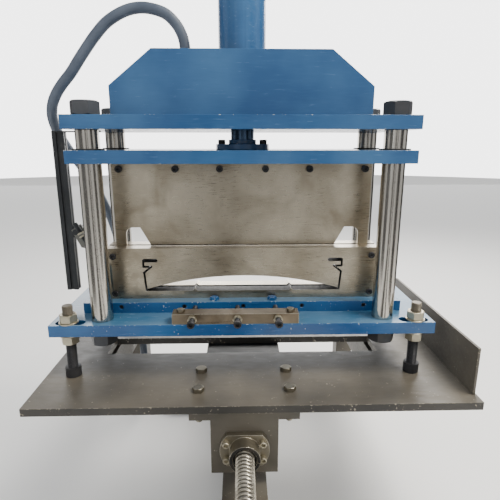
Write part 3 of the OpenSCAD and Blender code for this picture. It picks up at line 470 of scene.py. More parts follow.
turned_steel = steel("turned_steel", (0.40, 0.40, 0.39), (0.58, 0.58, 0.56), RUST, (2, 2, 60),
                     (0.24, 0.38), stains=0.2)
bronze = steel("bronze", (0.24, 0.16, 0.06), (0.42, 0.30, 0.13), (0.12, 0.08, 0.04),
               (2, 2, 50), (0.3, 0.45), stains=0.5)
black_oxide = steel("black_oxide", (0.022, 0.023, 0.026), (0.06, 0.06, 0.063),
                    (0.10, 0.085, 0.065), (6, 6, 6), (0.38, 0.55), stains=0.5, metallic=0.6)
nut_black = steel("nut_black", (0.045, 0.048, 0.054), (0.085, 0.088, 0.095), (0.12, 0.10, 0.08),
                  (4, 4, 12), (0.34, 0.48), stains=0.4, depth=0.02, metallic=0.6)
dusty_steel = steel("dusty_steel", (0.13, 0.115, 0.09), (0.25, 0.225, 0.175), RUST, (8, 8, 8),
                    (0.45, 0.6), stains=0.4, depth=0.03, metallic=0.6)
# Near-black steel for the die opening, the gap between the dies and the nut's recess: painted shade.
painted_shade_steel = steel("painted_shade_steel", (0.010, 0.010, 0.009), (0.028, 0.026, 0.022), RUST, (10, 1, 10),
                 (0.5, 0.65), stains=0.2, depth=0.01, metallic=0.2)
black_anodised = steel("black_anodised", (0.016, 0.018, 0.02), (0.04, 0.043, 0.047),
                       (0.08, 0.075, 0.065), (20, 20, 1), (0.34, 0.46), stains=0.3, metallic=0.5)
bracket_zinc = steel("bracket_zinc", (0.13, 0.13, 0.12), (0.22, 0.22, 0.20), RUST, (6, 6, 6),
                     (0.4, 0.55), stains=0.4)

# %% [markdown]
# ### Hard chrome
# A guide post is ground round and then polished, so it mirrors its surroundings in long
# vertical bands. Very fine rings and a trace of oil keep it from looking like glass.

# %% Chrome


def chrome(name, tint, rough):
    """Polished metal: faint rings round the post and streaks of oil along it."""
    material, tree, shader = blank(name, 1.0)
    rings = grain(tree, 0.03, 2, stretch=(1, 1, 20))
    film = grain(tree, 0.06, 2, stretch=(1, 1, 0.3), shift=3)
    tree.links.new(mixed(tree, between(tree, film, 0.35, 0.7, 0.0, 0.4), tint,
                         tuple(0.75 * c for c in tint)), shader.inputs["Base Color"])
    tree.links.new(between(tree, film, 0.3, 0.7, *rough), shader.inputs["Roughness"])
    bumped(tree, shader, rings, 0.004 * MM, 0.4)
    return material


post_chrome = chrome("post_chrome", (0.50, 0.475, 0.43), (0.16, 0.24))
# The rod's dark navy tint is painted shade and a painted reflection of the blue plates round it.
rod_chrome = chrome("rod_chrome", (0.055, 0.085, 0.14), (0.2, 0.3))

# %% [markdown]
# ### Rubber
# The hose cover is smooth grey-blue rubber that was wrapped in cloth tape while it cured.
# The tape leaves a faint diagonal weave, which has to follow the hose, so it reads the
# hose's own UV map: U goes once round, and V is the length in hose diameters.

# %% Rubber


def hose_rubber(name):
    """Grey-blue rubber with a shallow wrapped weave and chalky patches."""
    material, tree, shader = blank(name, 0.0)
    where = add(tree, "ShaderNodeUVMap").outputs[0]
    weave = [add(tree, "ShaderNodeTexWave",
                 {"Vector": add(tree, "ShaderNodeMapping", {
                     "Vector": where, "Scale": (14, lean, 1)}).outputs[0], "Scale": 1.0},
                 bands_direction="DIAGONAL").outputs[1] for lean in (9, -9)]
    cloth = maths(tree, "ADD", *weave)
    chalk = grain(tree, 0.05, 4, shift=2)
    shade = mixed(tree, between(tree, chalk, 0.35, 0.7), (0.052, 0.068, 0.098),
                  (0.085, 0.105, 0.14))
    tree.links.new(shade, shader.inputs["Base Color"])
    tree.links.new(between(tree, chalk, 0.3, 0.7, 0.42, 0.6), shader.inputs["Roughness"])
    bumped(tree, shader, cloth, 0.05 * MM, 0.4)
    return material


rubber = hose_rubber("hose_rubber")
tie_plastic, tie_tree, tie_shader = blank("tie_plastic", 0.0)
tie_shade = mixed(tie_tree, grain(tie_tree, 0.01), (0.012, 0.012, 0.013), (0.03, 0.03, 0.032))
tie_tree.links.new(tie_shade, tie_shader.inputs["Base Color"])
tie_tree.links.new(between(tie_tree, grain(tie_tree, 0.004), 0.3, 0.7, 0.35, 0.55),
                   tie_shader.inputs["Roughness"])

# %% [markdown]
# ## The hose
# The pressure hose leaves the elbow of the cylinder's lower port, arches over the side of
# the head and drops behind the machine. What is left of it lies there in a flat coil of
# two turns, ready to be laid to the valve. A hose is one smooth line, so the listed
# points are joined by a curve that passes through all of them. Where one turn has to pass
# under the next, it comes down by a hose's thickness within a quarter turn.

# %% The hose's line
HOSE_D = 0.025
COIL_CENTRE = (-0.205, 0.430)
COIL_RADIUS = 0.137
COIL_TURNS = 2
hose_points = np.array([
    [-131, 0, 1124], [-131, 0, 1142], [-136, 0, 1164], [-150, 0, 1189],
    [-176, 0, 1211], [-219, 0, 1221], [-260, 0, 1215], [-302, 0, 1193],
    [-334, 0, 1162], [-368, 0, 1120], [-394, 0, 1085], [-417, 1, 1060],
    [-436, 5, 1037], [-452, 16, 1012], [-463, 38, 984], [-467, 72, 952],
    [-463, 112, 916], [-452, 153, 874], [-436, 192, 824], [-419, 225, 768],
    [-405, 253, 704], [-395, 275, 636], [-387, 289, 566], [-379, 298, 496],
    [-367, 303, 430], [-354, 305, 366], [-345, 305, 306], [-342, 305, 248],
    [-342, 307, 190], [-342, 316, 140], [-342, 342, 99], [-342, 382, 72],
    [-342, 430, 62.5]]) * MM
tail_points = np.array([[-342, 430, 12.5], [-342, 455, 12.5], [-342, 480, 13.5],
                        [-342, 505, 16], [-342, 530, 16]]) * MM


def through(points, steps):
    """A line through all the points: between two of them it is the cubic whose ends have
    the direction from the point before to the point after."""
    before = np.vstack([2 * points[0] - points[1], points[:-2]])
    start, end = points[:-1], points[1:]
    after = np.vstack([points[2:], 2 * points[-1] - points[-2]])
    t = np.linspace(0, 1, steps, endpoint=False)[None, :, None]
    leave, arrive = (end - before)[:, None] / 2, (after - start)[:, None] / 2
    line = ((2 * t**3 - 3 * t**2 + 1) * start[:, None] + (t**3 - 2 * t**2 + t) * leave
            + (3 * t**2 - 2 * t**3) * end[:, None] + (t**3 - t**2) * arrive)
    return np.vstack([line.reshape(-1, 3), points[-1:]])


def smooth_step(x):
    """0 before 0, 1 after 1, and an even S between."""
    x = np.clip(x, 0, 1)
    return x * x * (3 - 2 * x)


turn = np.linspace(0, 2 * np.pi * COIL_TURNS, 240 * COIL_TURNS, endpoint=False)
coil_z = HOSE_D * (2.5 - smooth_step(turn / (np.pi / 2))
                   - smooth_step((turn - 2 * np.pi) / (np.pi / 2)))
coil_line = np.stack([COIL_CENTRE[0] - COIL_RADIUS * np.cos(turn),
                      COIL_CENTRE[1] + COIL_RADIUS * np.sin(turn), coil_z], axis=-1)
hose_line = np.vstack([through(hose_points, 10)[:-1], coil_line, through(tail_points, 6)])
hose_run = np.concatenate([[0], np.cumsum(np.linalg.norm(np.diff(hose_line, axis=0), axis=1))])

# %% [markdown]
# ### The hose's cover
# The hose itself is a circle carried along that line. Each circle's frame is the last one
# turned as little as possible, so the surface never twists.

# %% The hose's surface
HOSE_SIDES = 24


def carried(line, radius, sides):
    """Point (k, a) = line_k + radius_k (cos a side_k + sin a up_k), with side_k square to
    the line's direction and as near as possible to side_(k-1)."""
    way = np.gradient(line, axis=0)
    way /= np.linalg.norm(way, axis=1)[:, None]
    side = np.cross(way[0], (0.3, 0.8, 0.1))
    frames = []
    for step in way:
        side = side - side.dot(step) * step
        side /= np.linalg.norm(side)
        frames.append(side)
    side = np.array(frames)
    up = np.cross(way, side)
    a = angles(sides)
    reach = np.broadcast_to(np.asarray(radius, float), (len(line),))[:, None, None]
    return line[:, None] + reach * (np.cos(a)[None, :, None] * side[:, None]
                                    + np.sin(a)[None, :, None] * up[:, None])


def with_length_map(mesh, run, sides):
    """UV map of a carried shape: U once round, V the length in hose diameters."""
    layer = mesh.uv_layers.new(name="length_map")
    corner = np.empty(len(mesh.loops), int)
    mesh.loops.foreach_get("vertex_index", corner)
    first = np.empty(len(mesh.polygons), int)
    count = np.empty(len(mesh.polygons), int)
    mesh.polygons.foreach_get("loop_start", first)
    mesh.polygons.foreach_get("loop_total", count)
    place = (corner % sides).astype(float)
    seam = np.repeat((np.maximum.reduceat(place, first) - np.minimum.reduceat(place, first))
                     > sides / 2, count)
    place = np.where(seam & (place < sides / 2), place + sides, place)
    spots = np.stack([place / sides, run[corner // sides] / HOSE_D], axis=-1)
    layer.data.foreach_set("uv", spots.astype(np.float32).ravel())


hose_mesh = make_mesh("pressure_hose", [carried(hose_line, HOSE_D / 2 - 0.0002, HOSE_SIDES)])
with_length_map(hose_mesh, hose_run, HOSE_SIDES)
hose = add_piece("pressure_hose", hose_mesh, rubber, "carriage",
                 ("hose_tube", "hose_coil"))
print("hose faces", len(hose_mesh.polygons))

# %% [markdown]
# ## Hose ends and ties
# A hose end is a steel sleeve that a press has crimped onto the rubber in eight strokes,
# which leaves flats with ridges between them and a smooth lip on each side. The free end
# has a swivel nut. Two plastic ties hold the coil together.

# %% Ferrules
FERRULE_R = 0.016
FERRULE_LENGTH = 0.044
SWIVEL_FLATS = 0.036
SWIVEL_LENGTH = 0.026


def crimped(length):
    """A crimped sleeve along Z: eight cosine flats fade in and out along the sleeve, and a
    raised lip closes each end."""
    a = angles()
    share = np.linspace(0, 1, 25)[:, None]
    press = smooth_step((share - 0.16) / 0.08) * smooth_step((0.84 - share) / 0.08)
    dent = 0.5 + 0.5 * np.cos(8 * a)[None, :]
    lip = 0.0012 * (1 - np.clip(np.minimum(share, 1 - share) / 0.05, 0, 1)) ** 2
    r = FERRULE_R - lip - press * (0.0006 + 0.0011 * dent)
    return np.stack([r * np.cos(a), r * np.sin(a), share * length + 0 * a], axis=-1)


ferrule_boxes = solids("hose_ferrules")
upper_box = max(ferrule_boxes, key=lambda box: box[1][2])
tail_end = tail_points[-1]
swivel = nut(SWIVEL_FLATS, SWIVEL_LENGTH, 0.0105)
ferrules = [placed(crimped(FERRULE_LENGTH), (middle(upper_box)[0], 0, upper_box[0][2])),
            placed(crimped(FERRULE_LENGTH), tail_end, "back")]
ferrule_mesh = make_mesh("hose_ends", ferrules)
swivel_at = tail_end + np.array([0, FERRULE_LENGTH, 2 * MM])
swivel_mesh = make_mesh("hose_swivel", [placed(swivel, swivel_at, "back")], loop=True)
hose_ends = add_piece("hose_ends", ferrule_mesh, zinc_plate, "carriage",
                      ("hose_ferrules",))
hose_swivel = add_piece("hose_swivel_nut", swivel_mesh, zinc_plate, "carriage")

# %% Coil ties
TIE_WIDTH = 0.005
TIE_THICK = 0.0012
TIE_TURNS = (0.85, 1.6)


def tie(turns):
    """A flat band round the two stacked turns of the coil: a stadium path about the stack's
    middle, carried with a flat rounded section whose wide side lies along the hose."""
    a = angles(96)
    reach = HOSE_D / 2 + 0.3 * MM
    low, high = HOSE_D / 2 + 0.9 * MM, 1.5 * HOSE_D
    rise = np.where(np.sin(a) >= 0, high, low)
    out = np.array([-math.cos(turns * np.pi), math.sin(turns * np.pi), 0])
    along = np.array([math.sin(turns * np.pi), math.cos(turns * np.pi), 0])
    centre = np.array([*COIL_CENTRE, 0]) + COIL_RADIUS * out
    b = angles(12)
    grow = reach + TIE_THICK / 2 * np.cos(b)[None, :]
    points = (centre + (grow * np.cos(a)[:, None])[..., None] * out
              + (grow * np.sin(a)[:, None] + rise[:, None])[..., None] * np.array([0, 0, 1])
              + (TIE_WIDTH / 2 * np.sin(b))[None, :, None] * along)
    return points


ties_mesh = make_mesh("coil_ties", [tie(t) for t in TIE_TURNS], loop=True)
coil_ties = add_piece("coil_ties", ties_mesh, tie_plastic, "carriage")

# %% [markdown]
# ## Plates, bars and beams
# Flame-cut and milled plates are the CAD solids with their sharp edges broken. A copy of
# each solid is merged into one skin, its flat faces are joined again, and a Bevel modifier
# rounds the edges. The new edge faces take a second material, which is how the paint can
# be chipped exactly where plates get knocked; on the dies the second material is a lighter
# steel, a painted highlight along the edges. Some nodes have a third finish on a zone of
# their faces: a paler blue on level plates, which is painted sky light, and near-black on
# the walls of an opening, the gap between the dies, the nut's recess and the carriage's
# front faces, which is painted shade.

# %% Plates from the frame


def dressed(node, finish, edge_finish, edge, zone=None):
    """A finished copy of a CAD node: merged skin, rounded edges, its own edge material. A
    zone is a third finish, with a test of the faces' middles and normals that picks them."""
    mesh = frame["nodes"][node].data.copy()
    mesh.name = "finished_" + node
    work = bmesh.new()
    work.from_mesh(mesh)
    bmesh.ops.remove_doubles(work, verts=work.verts, dist=WELD)
    bmesh.ops.dissolve_limit(work, angle_limit=math.radians(0.5), verts=work.verts,
                             edges=work.edges, use_dissolve_boundaries=False)
    work.to_mesh(mesh)
    work.free()
    smooth_shade(mesh)
    finishes = [finish, edge_finish] + ([zone[0]] if zone else [])
    piece = add_piece("finished_" + node, mesh, finishes, BODY_OF[node], (node,))
    chosen = np.zeros(len(mesh.polygons), bool)
    if zone:
        chosen = zone[1](faces_of(mesh, "center"), faces_of(mesh, "normal"))
    mesh.polygons.foreach_set("material_index", np.where(chosen, 2, 0).astype(np.int32))
    bevel = piece.modifiers.new("broken_edges", "BEVEL")
    bevel.width = edge * MM
    bevel.segments = 2
    bevel.limit_method = "ANGLE"
    bevel.angle_limit = math.radians(40)
    bevel.use_clamp_overlap = False
    bevel.harden_normals = True
    bevel.material = 1


CUT_X, CUT_LOW, CUT_HIGH = 0.255, 0.040, 0.132     # the opening, above the base plate
REAR_FLOOR_X = 0.2
FRONT_EDGE_LOW = 0.35
NUT_RECESS_R, NUT_RECESS_DEEP = 0.027, 0.008
base_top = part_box("base_plate")[1][2]
plate_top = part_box("moving_plate")[1][2]
nut_low, nut_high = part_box("ball_nut")


def in_cut(middles, normals):
    """Walls of the profile opening, painted near-black as painted shade."""
    rise = middles[:, 2] - base_top
    return ((np.abs(normals[:, 1]) < 0.5) & (np.abs(middles[:, 0]) < CUT_X)
            & (rise > CUT_LOW) & (rise < CUT_HIGH))


def rear_cut(middles, normals):
    """The same painted shade in the rear die, apart from its floor, and on the face towards the gap."""
    return ((in_cut(middles, normals) & (np.abs(middles[:, 0]) > REAR_FLOOR_X))
            | (normals[:, 1] < -0.5))


def facing_up(middles, normals):
    """Level faces, which take the paler blue as painted sky light."""
    return normals[:, 2] > 0.9


def facing_front(middles, normals):
    """Upright front faces near the carriage plate's height, which take a near-black paint as painted shade."""
    return (normals[:, 1] < -0.9) & (middles[:, 2] > FRONT_EDGE_LOW)


def screw_recess(middles, normals):
    """The recess round the ball screw in the nut's front face, painted near-black as painted shade."""
    off_axis = np.hypot(middles[:, 0], middles[:, 2] - (nut_low[2] + nut_high[2]) / 2)
    return (off_axis < NUT_RECESS_R) & (middles[:, 1] < nut_low[1] + NUT_RECESS_DEEP)


def above_plate(middles, normals):
    """The lips of the bushes that stand on the moving plate."""
    return middles[:, 2] > plate_top


# Third finishes: the bushes' dark lips are their own paint; the paler blue on level faces is painted sky light;
# the near-black front faces, die opening, gap and nut recess are painted shade.
ZONES = {"lower_die_front": (painted_shade_steel, in_cut), "lower_die_rear": (painted_shade_steel, rear_cut),
         "guide_bushes": (dark_paint, above_plate), "base_plate": (skylit_top_blue, facing_up),
         "ball_nut": (painted_shade_steel, screw_recess),
         "holder_bar_front": (skylit_top_blue, facing_up), "top_plate": (skylit_top_blue, facing_up),
         "holder_bar_rear": (skylit_top_blue, facing_up), "moving_plate": (skylit_top_blue, facing_up),
         "carriage_plate": (bed_front_shade_paint, facing_front),
         "nut_bracket": (bed_front_shade_paint, facing_front)}
PLATES = {
    blue_paint: (blue_edge, 1.0, ["base_plate", "holder_bar_front", "holder_bar_rear",
                                  "blade_holder"]),
    head_paint: (head_edge, 1.0, ["top_plate", "moving_plate", "gusset_front", "gusset_rear",
                                  "cylinder_barrel", "cylinder_cap", "rod_flange"]),
    bed_paint: (bed_edge, 0.8, ["carriage_plate", "side_guard", "nut_bracket", "centre_beam",
                                "bed_feet", "cross_members", "side_beams", "rear_legs"]),
    dark_paint: (bed_edge, 0.6, ["centre_spine"]),
    # The dies' edges take the lighter steel as a painted highlight.
    ground_steel: (ground_edge_highlight, 0.35, ["lower_die_front", "lower_die_rear", "upper_blade"]),
    rail_steel: (rail_steel, 0.6, ["guide_rails"]),
    nut_steel: (screw_steel, 0.6, ["ball_nut", "guide_blocks"]),
    brown_steel: (screw_steel, 0.8, ["clamp_bar"]),
    turned_steel: (turned_steel, 0.5, ["cylinder_gland", "port_elbow", "piston"]),
    bronze: (dark_paint, 0.4, ["guide_bushes"]),
    black_anodised: (black_anodised, 0.4, ["switch_rail", "switch_clamp"]),
    bracket_zinc: (bracket_zinc, 0.3, ["sensor_bracket"]),
    black_oxide: (black_oxide, 0.8, ["screw_bearings"]),
}
for finish, (edge_finish, edge, nodes) in PLATES.items():
    for node in nodes:
        dressed(node, finish, edge_finish, edge, ZONES.get(node))
print("plates dressed:", sum(len(row[2]) for row in PLATES.values()))

# %% [markdown]
# ## Ball screw
# Balls run in a round groove that climbs ten millimetres a turn. The groove's depth follows
# a half circle across its width, so the lands between the turns are left as smooth bands.
# The thread's phase is tied to the same lead as the joint that turns the screw.

# %% Ball screw
SCREW_LEAD = 0.010
SCREW_R, JOURNAL_R, DRIVE_R = 0.020, 0.015, 0.012
GROOVE_DEPTH = 0.0026
GROOVE_HALF = 0.34


def screw_thread(low, high, around=48, steps=12):
    """Rings along Y: the radius falls along a half circle within GROOVE_HALF of the
    groove's middle, and the middle moves one lead along Y for each turn."""
    y = np.arange(low, high, SCREW_LEAD / steps)
    a = angles(around)
    phase = (y[:, None] / SCREW_LEAD - a[None, :] / (2 * np.pi)) % 1 - 0.5
    deep = np.sqrt(np.clip(1 - (phase / GROOVE_HALF) ** 2, 0, 1))
    r = SCREW_R - GROOVE_DEPTH * deep
    ends = np.minimum(y - low, high - y)[:, None]
    r = np.minimum(r, SCREW_R - GROOVE_DEPTH + ends)
    return np.stack([r * np.cos(a), y[:, None] + 0 * a, r * np.sin(a)], axis=-1)


def ring_at(radius, y, around=48):
    """One ring of the screw, square to Y."""
    a = angles(around)
    return np.stack([radius * np.cos(a), y + 0 * a, radius * np.sin(a)], axis=-1)[None]


screw_low, screw_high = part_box("ball_screw")
bearings = solids("screw_bearings")
front_bearing = min(bearings, key=lambda box: box[0][1])
rear_bearing = max(bearings, key=lambda box: box[0][1])
thread_start, thread_end = front_bearing[1][1] + 0.5 * MM, rear_bearing[0][1] - 0.5 * MM
drive_start = rear_bearing[1][1]
screw_rings = np.concatenate([
    ring_at(JOURNAL_R - MM, screw_low[1]), ring_at(JOURNAL_R, screw_low[1] + MM),
    ring_at(JOURNAL_R, thread_start), screw_thread(thread_start, thread_end),
    ring_at(JOURNAL_R, thread_end), ring_at(JOURNAL_R, drive_start - MM),
    ring_at(JOURNAL_R - MM, drive_start), ring_at(DRIVE_R, drive_start),
    ring_at(DRIVE_R, screw_high[1] - MM), ring_at(DRIVE_R - MM, screw_high[1])])
screw_rings = screw_rings + np.array([0, 0, (screw_low[2] + screw_high[2]) / 2])
screw_mesh = make_mesh("ball_screw_thread", [screw_rings])
add_piece("ball_screw_thread", screw_mesh, screw_steel, "screw", ("ball_screw",))
print("ball screw turns", round((thread_end - thread_start) / SCREW_LEAD, 1))

# %% [markdown]
# ## Guide posts and piston rod
# A guide post is a ground bar with a smaller threaded stud at each end, which goes through
# the plate and takes the nut. The rings of the profile carry a small chamfer wherever the
# diameter changes.

# %% Posts and rod
POST_R, STUD_R = 0.025, 0.018
ROD_R, ROD_END_R = 0.028, 0.020
top_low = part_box("top_plate")[0][2]


def bar_steps(steps, edge=1 * MM):
    """Profile of a stepped bar with chamfered ends, from (radius, low, high) lengths."""
    profile = []
    for radius, low, high in steps:
        profile += [(radius - edge, low), (radius, low + edge), (radius, high - edge),
                    (radius - edge, high)]
    return profile


for node in ["post_front_left", "post_front_right", "post_rear_left", "post_rear_right"]:
    low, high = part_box(node)
    bar = turned(bar_steps([(STUD_R, low[2], base_top), (POST_R, base_top, top_low),
                            (STUD_R, top_low, high[2])]), 96)
    finish_node(node, [placed(bar, (*middle((low, high))[:2], 0))], post_chrome)

rod_low, rod_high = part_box("piston_rod")
piston_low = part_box("piston")[0][2]
rod = turned(bar_steps([(ROD_R, rod_low[2], piston_low), (ROD_END_R, piston_low, rod_high[2])]),
             96)
# The rod takes the dark navy chrome: painted shade and painted reflection.
finish_node("piston_rod", [rod], rod_chrome)

# %% [markdown]
# ## Nuts, washers and screws
# Every nut is a hexagon whose corners were turned off by a cone, so its flats end in curved
# lines. The socket screws have a knurled rim and a hexagon well. Each is shaped along Z and
# set down at a solid that the frame lists, as long as that solid.

# %% Nuts
POST_NUT_FLATS, LEVEL_NUT_FLATS, JACK_NUT_FLATS = 0.055, 0.036, 0.019
POST_NUT_BORE, LEVEL_NUT_BORE, JACK_NUT_BORE = 0.0182, 0.0123, 0.0061


def nuts_at(node, finish, flats, bore, way="up"):
    """Chamfered nuts in place of a node's solids; the height is the box's along the axis."""
    axis = 2 if way == "up" else 1
    stacks = []
    for low, high in solids(node):
        at = middle((low, high))
        at[axis] = low[axis] if way == "up" else high[axis]
        stacks.append(placed(nut(flats, high[axis] - low[axis], bore), at, way))
    finish_node(node, stacks, finish, loop=True)


nuts_at("post_top_nuts", nut_black, POST_NUT_FLATS, POST_NUT_BORE)
nuts_at("post_bottom_nuts", nut_black, POST_NUT_FLATS, POST_NUT_BORE)
nuts_at("jack_lock_nuts", zinc_plate, JACK_NUT_FLATS, JACK_NUT_BORE, "front")

NUT_TALLER_THAN = 0.010     # a solid of the levelling nuts that is thinner is a washer
levelling = []
for low, high in solids("levelling_nuts"):
    tall = high[2] - low[2]
    at = (*middle((low, high))[:2], low[2])
    shape = (nut(LEVEL_NUT_FLATS, tall, LEVEL_NUT_BORE) if tall > NUT_TALLER_THAN
             else washer((high[0] - low[0]) / 2, tall, LEVEL_NUT_BORE))
    levelling.append(placed(shape, at))
finish_node("levelling_nuts", levelling, zinc_plate, loop=True)

# %% Levelling bolts
LEVEL_R, LEVEL_PITCH, LEVEL_DEPTH = 0.012, 0.003, 1.6 * MM
LEVEL_HEAD, LEVEL_SOCKET, LEVEL_NECK = 0.024, 0.019, 0.86
bolts = []
for low, high in solids("levelling_bolts"):
    at = (*middle((low, high))[:2], low[2] + LEVEL_HEAD)
    head_r = (high[0] - low[0]) / 2
    head = turned(socket_head(head_r, LEVEL_HEAD, LEVEL_SOCKET, ridges=36)[:-1]
                  + [(head_r - MM, 0), (LEVEL_R * LEVEL_NECK, 0)])
    bolts.append(placed(head, at, "down"))
    length = high[2] - low[2] - LEVEL_HEAD
    bolts.append(placed(threaded(LEVEL_R, LEVEL_PITCH, -MM, length, LEVEL_DEPTH), at))
bolts_mesh = finish_node("levelling_bolts", bolts, [black_oxide, dusty_steel]).data
above_base = faces_of(bolts_mesh, "center")[:, 2] > base_top
bolts_mesh.polygons.foreach_set("material_index", above_base.astype(np.int32))
print("bolt faces with dust:", int(above_base.sum()))

# %% Socket and hexagon screws
# node: shape, finish, shank radius, head radius or flats, head height, where the head points
SCREWS = {
    "nut_screws": (socket_screw, zinc_plate, 0.005, 0.0075, 0.010, "front"),
    "flange_screws": (socket_screw, black_oxide, 0.005, 0.008, 0.010, "up"),
    "blade_screws": (socket_screw, black_oxide, 0.005, 0.0085, 0.010, "front"),
    "bracket_bolts": (hex_screw, nut_steel, 0.008, 0.024, 0.010, "up"),
    "clamp_bar_bolts": (hex_screw, nut_steel, 0.005, 0.017, 0.007, "up"),
}
for node, (shape, finish, radius, across, head, way) in SCREWS.items():
    axis = 2 if way == "up" else 1
    stacks = []
    for low, high in solids(node):
        at = middle((low, high))
        at[axis] = high[axis] - head if way == "up" else low[axis] + head
        stacks.append(placed(shape(radius, across, head, high[axis] - low[axis] - head), at, way))
    finish_node(node, stacks, finish)
print("screw rows:", len(SCREWS))

# %% Jack screws
JACK_R, JACK_PITCH, JACK_DEPTH = 0.006, 0.00175, 0.9 * MM
JACK_HEAD_R, JACK_HEAD, JACK_SOCKET = 0.009, 0.012, 0.010
JACK_NECK_R = 0.0052


def jack(run):
    """A jack screw: knurled socket head and a thread all the way to its point."""
    head = turned(socket_head(JACK_HEAD_R, JACK_HEAD, JACK_SOCKET, ridges=30)[:-1]
                  + [(JACK_HEAD_R - MM, 0), (JACK_NECK_R, 0)])
    thread = threaded(JACK_R, JACK_PITCH, -MM, run, JACK_DEPTH, around=24)
    return head, placed(thread, (0, 0, 0), "down")


for node in ["jack_screw_left", "jack_screw_centre", "jack_screw_right"]:
    low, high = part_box(node)
    at = middle((low, high))
    at[1] = low[1] + JACK_HEAD
    finish_node(node, [placed(part, at, "front") for part in jack(high[1] - low[1] - JACK_HEAD)],
                black_oxide)

# %% Painted lug bolts
LUG_X, LUG_FLATS, LUG_HEIGHT, LUG_CHAMFER = 0.072, 0.020, 0.0085, 1.5 * MM
HOLDER_BAR_HEIGHT = 0.026
bar_middle = middle(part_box("holder_bar_front"))
lug_heads = [placed(turned([(LUG_FLATS * 0.45, 0), (hexagon(LUG_FLATS), 0.0003),
                            (hexagon(LUG_FLATS), LUG_HEIGHT - LUG_CHAMFER),
                            (LUG_FLATS * 0.46, LUG_HEIGHT)]),
                    (side * LUG_X, bar_middle[1], base_top + HOLDER_BAR_HEIGHT))
             for side in (-1, 1)]
add_piece("lug_bolts", make_mesh("lug_bolts", lug_heads), blue_edge, BODY_OF["holder_bar_front"])

# %% Die screws
DIE_R, DIE_HEAD_R, DIE_HEAD, DIE_RUN = 0.005, 0.008, 0.006, 0.017
DIE_HEAD_WIDER_THAN = 0.013     # a solid of the die screws that is narrower is a set screw
SET_SOCKET, SET_DEPTH = 0.005, 0.005


def set_screw(length):
    """A headless screw with its socket at Z 0 and its point below."""
    well = hexagon(SET_SOCKET)
    return turned([(well * WELL_TAPER, -SET_DEPTH), (well, -0.0004), (well + 0.0004, 0),
                   (DIE_R - 0.0005, 0), (DIE_R, -0.0005), (DIE_R, -length + MM),
                   (DIE_R - MM, -length)])


die_parts = []
for low, high in solids("die_screws"):
    at = middle((low, high))
    front = at[1] < 0
    has_head = high[0] - low[0] > DIE_HEAD_WIDER_THAN
    inset = DIE_HEAD if has_head else 0
    at[1] = low[1] + inset if front else high[1] - inset
    shape = (socket_screw(DIE_R, DIE_HEAD_R, DIE_HEAD, DIE_RUN) if has_head
             else set_screw(high[1] - low[1]))
    die_parts.append(placed(shape, at, "front" if front else "back"))
finish_node("die_screws", die_parts, black_oxide)
print("die screws:", len(die_parts))

# %% [markdown]
# ## Sensor, levelling feet and welds
# The sensor is a black threaded tube, held in the bracket's tab by two thin nuts. Its place
# comes from the joint that it swivels on. Each foot is a turned pad. The weld beads are
# small round bars whose radius ripples as the welder's hand moved along.

# %% Sensor
SENSOR_LEAN = math.radians(-28)
SENSOR_TOP, SENSOR_LENGTH, SENSOR_OUT = 0.020, 0.096, 0.014
SENSOR_R, SENSOR_PITCH, SENSOR_DEPTH, BOOT_LENGTH = 0.006, 0.0015, 0.6 * MM, 0.016
SENSOR_AROUND = 28
TAB_TOP, TAB_LOW = -0.010, -0.014
SENSOR_NUT_FLATS, SENSOR_NUT_HEIGHT = 0.017, 0.004
swivel_joint = next(j for j in frame["joints"] if j["name"] == "switch_swivel")
pivot = np.array(swivel_joint["pos_m"])
pivot[1] = middle(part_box("prox_sensor"))[1]
lean = np.array([[math.cos(SENSOR_LEAN), 0, math.sin(SENSOR_LEAN)], [0, 1, 0],
                 [-math.sin(SENSOR_LEAN), 0, math.cos(SENSOR_LEAN)]])


def on_sensor(stack, height):
    """Sets a stack on the sensor's leaning axis, at a height along it."""
    return (stack + np.array([SENSOR_OUT, 0, height])) @ lean.T + pivot


tube = threaded(SENSOR_R, SENSOR_PITCH, 0, SENSOR_LENGTH - BOOT_LENGTH, SENSOR_DEPTH,
                around=SENSOR_AROUND)
face = turned([(0.0046, -0.001), (0.0052, -0.0004), (0.0052, 0.0006)], SENSOR_AROUND)
boot = turned([(0.0054, 0), (0.0056, 0.001), (0.0056, 0.012), (0.0048, 0.0155),
               (0.0036, BOOT_LENGTH)], SENSOR_AROUND)
sensor_bottom = SENSOR_TOP - SENSOR_LENGTH + MM
finish_node("prox_sensor", [on_sensor(tube, sensor_bottom), on_sensor(face, sensor_bottom),
                            on_sensor(boot, SENSOR_TOP - BOOT_LENGTH)], black_anodised)
sensor_nut = nut(SENSOR_NUT_FLATS, SENSOR_NUT_HEIGHT, SENSOR_R - 0.3 * MM, lead_in=0.4 * MM)
sensor_nuts = [on_sensor(sensor_nut, z) for z in (TAB_TOP, TAB_LOW - SENSOR_NUT_HEIGHT)]
add_piece("sensor_nuts", make_mesh("sensor_nuts", sensor_nuts, loop=True), zinc_plate,
          BODY_OF["prox_sensor"])

# %% Levelling feet
feet = []
for low, high in solids("levelling_feet"):
    at = (*middle((low, high))[:2], 0)
    pad = (high[0] - low[0]) / 2
    feet.append(placed(turned([(pad - MM, 0), (pad, MM), (pad, 0.006), (pad * 0.8, 0.011),
                               (pad * 0.52, 0.0125), (pad * 0.5, 0.014),
                               (pad * 0.5, high[2] - MM), (pad * 0.48, high[2])]), at))
finish_node("levelling_feet", feet, black_oxide)

# %% Weld beads
BEAD, GUARD_BEAD, RIPPLE = 0.004, 0.003, 0.0022
FOOT_HALF, BEAD_END = 0.095, 0.012
GUSSET_GAP, FOOT_PLATE = 0.006, 0.020


